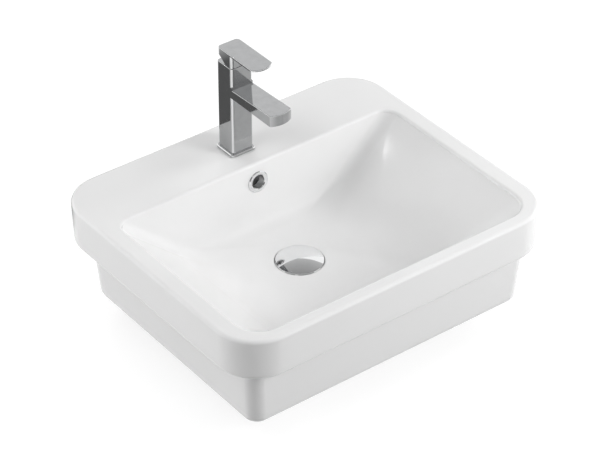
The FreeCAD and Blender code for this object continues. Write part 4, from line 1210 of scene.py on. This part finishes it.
@dataclass
class Studio:
    """Floor, surroundings, lights and camera."""

    floor_level: float
    floor_reach: float = 6.0
    ambient: float = 0.13
    floor_colour: float = 0.3
    floor_glow: tuple[float, float] = (0.82, 1.0)
    glow_reach: tuple[float, float] = (0.6, 2.2)
    softboxes: tuple[Softbox, ...] = (
        Softbox("front_softbox", (1.2, -1.8, 1.3), (1.0, 1.0), 32.3),
        Softbox("low_front_softbox", (1.2, -2.2, 0.4), (1.0, 0.8), 13.3),
        Softbox("right_softbox", (2.2, -0.3, 1.3), (1.0, 1.0), 13.9),
        Softbox("left_softbox", (-2.2, 1.2, 0.4), (1.0, 0.8), 19.2),
        Softbox("low_left_softbox", (-2.4, 0.3, 0.4), (1.0, 0.8), 7.1),
        Softbox("overhead_softbox", (-1.3, 0.0, 1.9), (1.2, 1.2), 12.9),
        Softbox("back_softbox", (0.0, 1.4, 1.9), (1.2, 1.2), 11.9),
        Softbox("streak_lamp", (-0.765, 1.339, 1.24), (0.006, 0.055), 0.014, (0.185, 0.065, 0.024), 49.0, True),
    )
    flags: tuple[Flag, ...] = (
        Flag("overhead_flag", (0.0, 0.0, 2.4), (2.95, 2.95), (0.16, 0.5)),
        Flag("back_flag", (-0.16, 0.36, -0.025), (0.2, 0.11), (0.16, 1.0), (-0.16, 0.0, -0.025), 0.6),
        Flag("front_flag", (-1.5, -1.25, 0.9), (1.2, 1.1), (0.15, 1.0), even_share=0.5),
    )
    azimuth: float = -37.27
    elevation: float = 36.13
    distance: float = 3.20805
    target: Point = (-46.69 * MM, -51.48 * MM, 62.0 * MM)
    focal_pixels: float = 2525.63
    picture_pixels: float = 600.0
    sensor: float = 36.0
    clip: tuple[float, float] = (0.1, 30.0)

    def seen_directly(self, sheet: ShaderSheet) -> bpy.types.NodeSocket:
        """A mask that is 1 for what the camera, a mirror or a glass shows.

        Args:
            sheet: The tree of the material or world.

        Returns:
            The mask's socket.
        """
        rays = sheet.add("ShaderNodeLightPath").outputs
        either = sheet.add(
            "ShaderNodeMath", {0: rays["Is Camera Ray"], 1: rays["Is Glossy Ray"]}, operation="MAXIMUM"
        )
        every = sheet.add(
            "ShaderNodeMath", {0: either.outputs[0], 1: rays["Is Transmission Ray"]}, operation="MAXIMUM"
        )
        return every.outputs[0]

    def build_world(self) -> None:
        """White where it is seen directly or in a glossy face, and a dimmer even light on the object."""
        world = bpy.data.worlds.new("studio_world")
        world.use_nodes = True
        bpy.context.scene.world = world
        sheet = ShaderSheet(world.node_tree)
        even = sheet.add("ShaderNodeBackground", {"Color": WHITE, "Strength": self.ambient})
        white = sheet.add("ShaderNodeBackground", {"Color": WHITE, "Strength": 1.0})
        mixed = sheet.add(
            "ShaderNodeMixShader", {0: self.seen_directly(sheet), 1: even.outputs[0], 2: white.outputs[0]}
        )
        sheet.add("ShaderNodeOutputWorld", {"Surface": mixed.outputs[0]})

    def build_floor(self) -> bpy.types.Object:
        """A plain floor that keeps the object's shadow and glows towards white away from it.

        Returns:
            The floor.
        """
        reach = self.floor_reach
        plan = ((-reach, -reach), (reach, -reach), (reach, reach), (-reach, reach))
        corners = [(x, y, self.floor_level) for x, y in plan]
        mesh = bpy.data.meshes.new("floor")
        mesh.from_pydata(corners, [], [(0, 1, 2, 3)])
        floor = link_piece("floor", mesh)
        material = bpy.data.materials.new("studio_floor")
        material.use_nodes = True
        sheet = ShaderSheet(material.node_tree)
        matt = sheet.add("ShaderNodeBsdfDiffuse", {"Color": (*(self.floor_colour,) * 3, 1.0)})
        level = sheet.add(
            "ShaderNodeMapRange",
            {
                "Value": sheet.distance_from_middle(),
                "From Min": self.glow_reach[0],
                "From Max": self.glow_reach[1],
                "To Min": self.floor_glow[0],
                "To Max": self.floor_glow[1],
            },
        )
        strength = sheet.add(
            "ShaderNodeMath", {0: self.seen_directly(sheet), 1: level.outputs["Result"]}, operation="MULTIPLY"
        )
        glow = sheet.add("ShaderNodeEmission", {"Color": WHITE, "Strength": strength.outputs[0]})
        both = sheet.add("ShaderNodeAddShader", {0: matt.outputs[0], 1: glow.outputs[0]})
        sheet.add("ShaderNodeOutputMaterial", {"Surface": both.outputs[0]})
        mesh.materials.append(material)
        floor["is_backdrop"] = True
        return floor

    def build_camera(self) -> bpy.types.Object:
        """The camera at the photograph's viewing angle.

        Returns:
            The camera.
        """
        turn, lift = math.radians(self.azimuth), math.radians(self.elevation)
        back = Vector((math.sin(turn) * math.cos(lift), -math.cos(turn) * math.cos(lift), math.sin(lift)))
        data = bpy.data.cameras.new("camera")
        data.lens = self.focal_pixels / self.picture_pixels * self.sensor
        data.sensor_width = self.sensor
        data.clip_start, data.clip_end = self.clip
        camera = bpy.data.objects.new("camera", data)
        bpy.context.scene.collection.objects.link(camera)
        camera.location = Vector(self.target) + back * self.distance
        camera.rotation_mode = "QUATERNION"
        camera.rotation_quaternion = (-back).to_track_quat("-Z", "Y")
        bpy.context.scene.camera = camera
        return camera

    def build(self) -> list[bpy.types.Object]:
        """Set up the whole studio.

        Returns:
            The floor, the camera, the lamps and the cards.
        """
        bpy.context.scene.view_settings.view_transform = "Standard"
        self.build_world()
        lighting = (*self.softboxes, *self.flags)
        return [self.build_floor(), self.build_camera(), *(piece.build() for piece in lighting)]


def corners_of(bounds: tuple[Vector, Vector]) -> list[list[float]]:
    """A box as plain lists of numbers."""
    return [[float(value) for value in corner] for corner in bounds]


def main() -> None:
    """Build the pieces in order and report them."""
    logging.basicConfig(level=logging.INFO, format="%(name)s: %(message)s")
    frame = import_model()
    cad_box = corners_of(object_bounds())
    for name, finish in CarriedNodes(frame["nodes"], frame["record"]).dress().items():
        log.info("%s: %s", name, finish)
    shell = BasinShell().build()
    log.info("%s: %d faces", shell.name, len(shell.data.polygons))
    for piece in Studio(floor_level=cad_box[0][2] - FLOOR_GAP).build():
        log.info("%s: studio", piece.name)


if __name__ == "__main__":
    main()
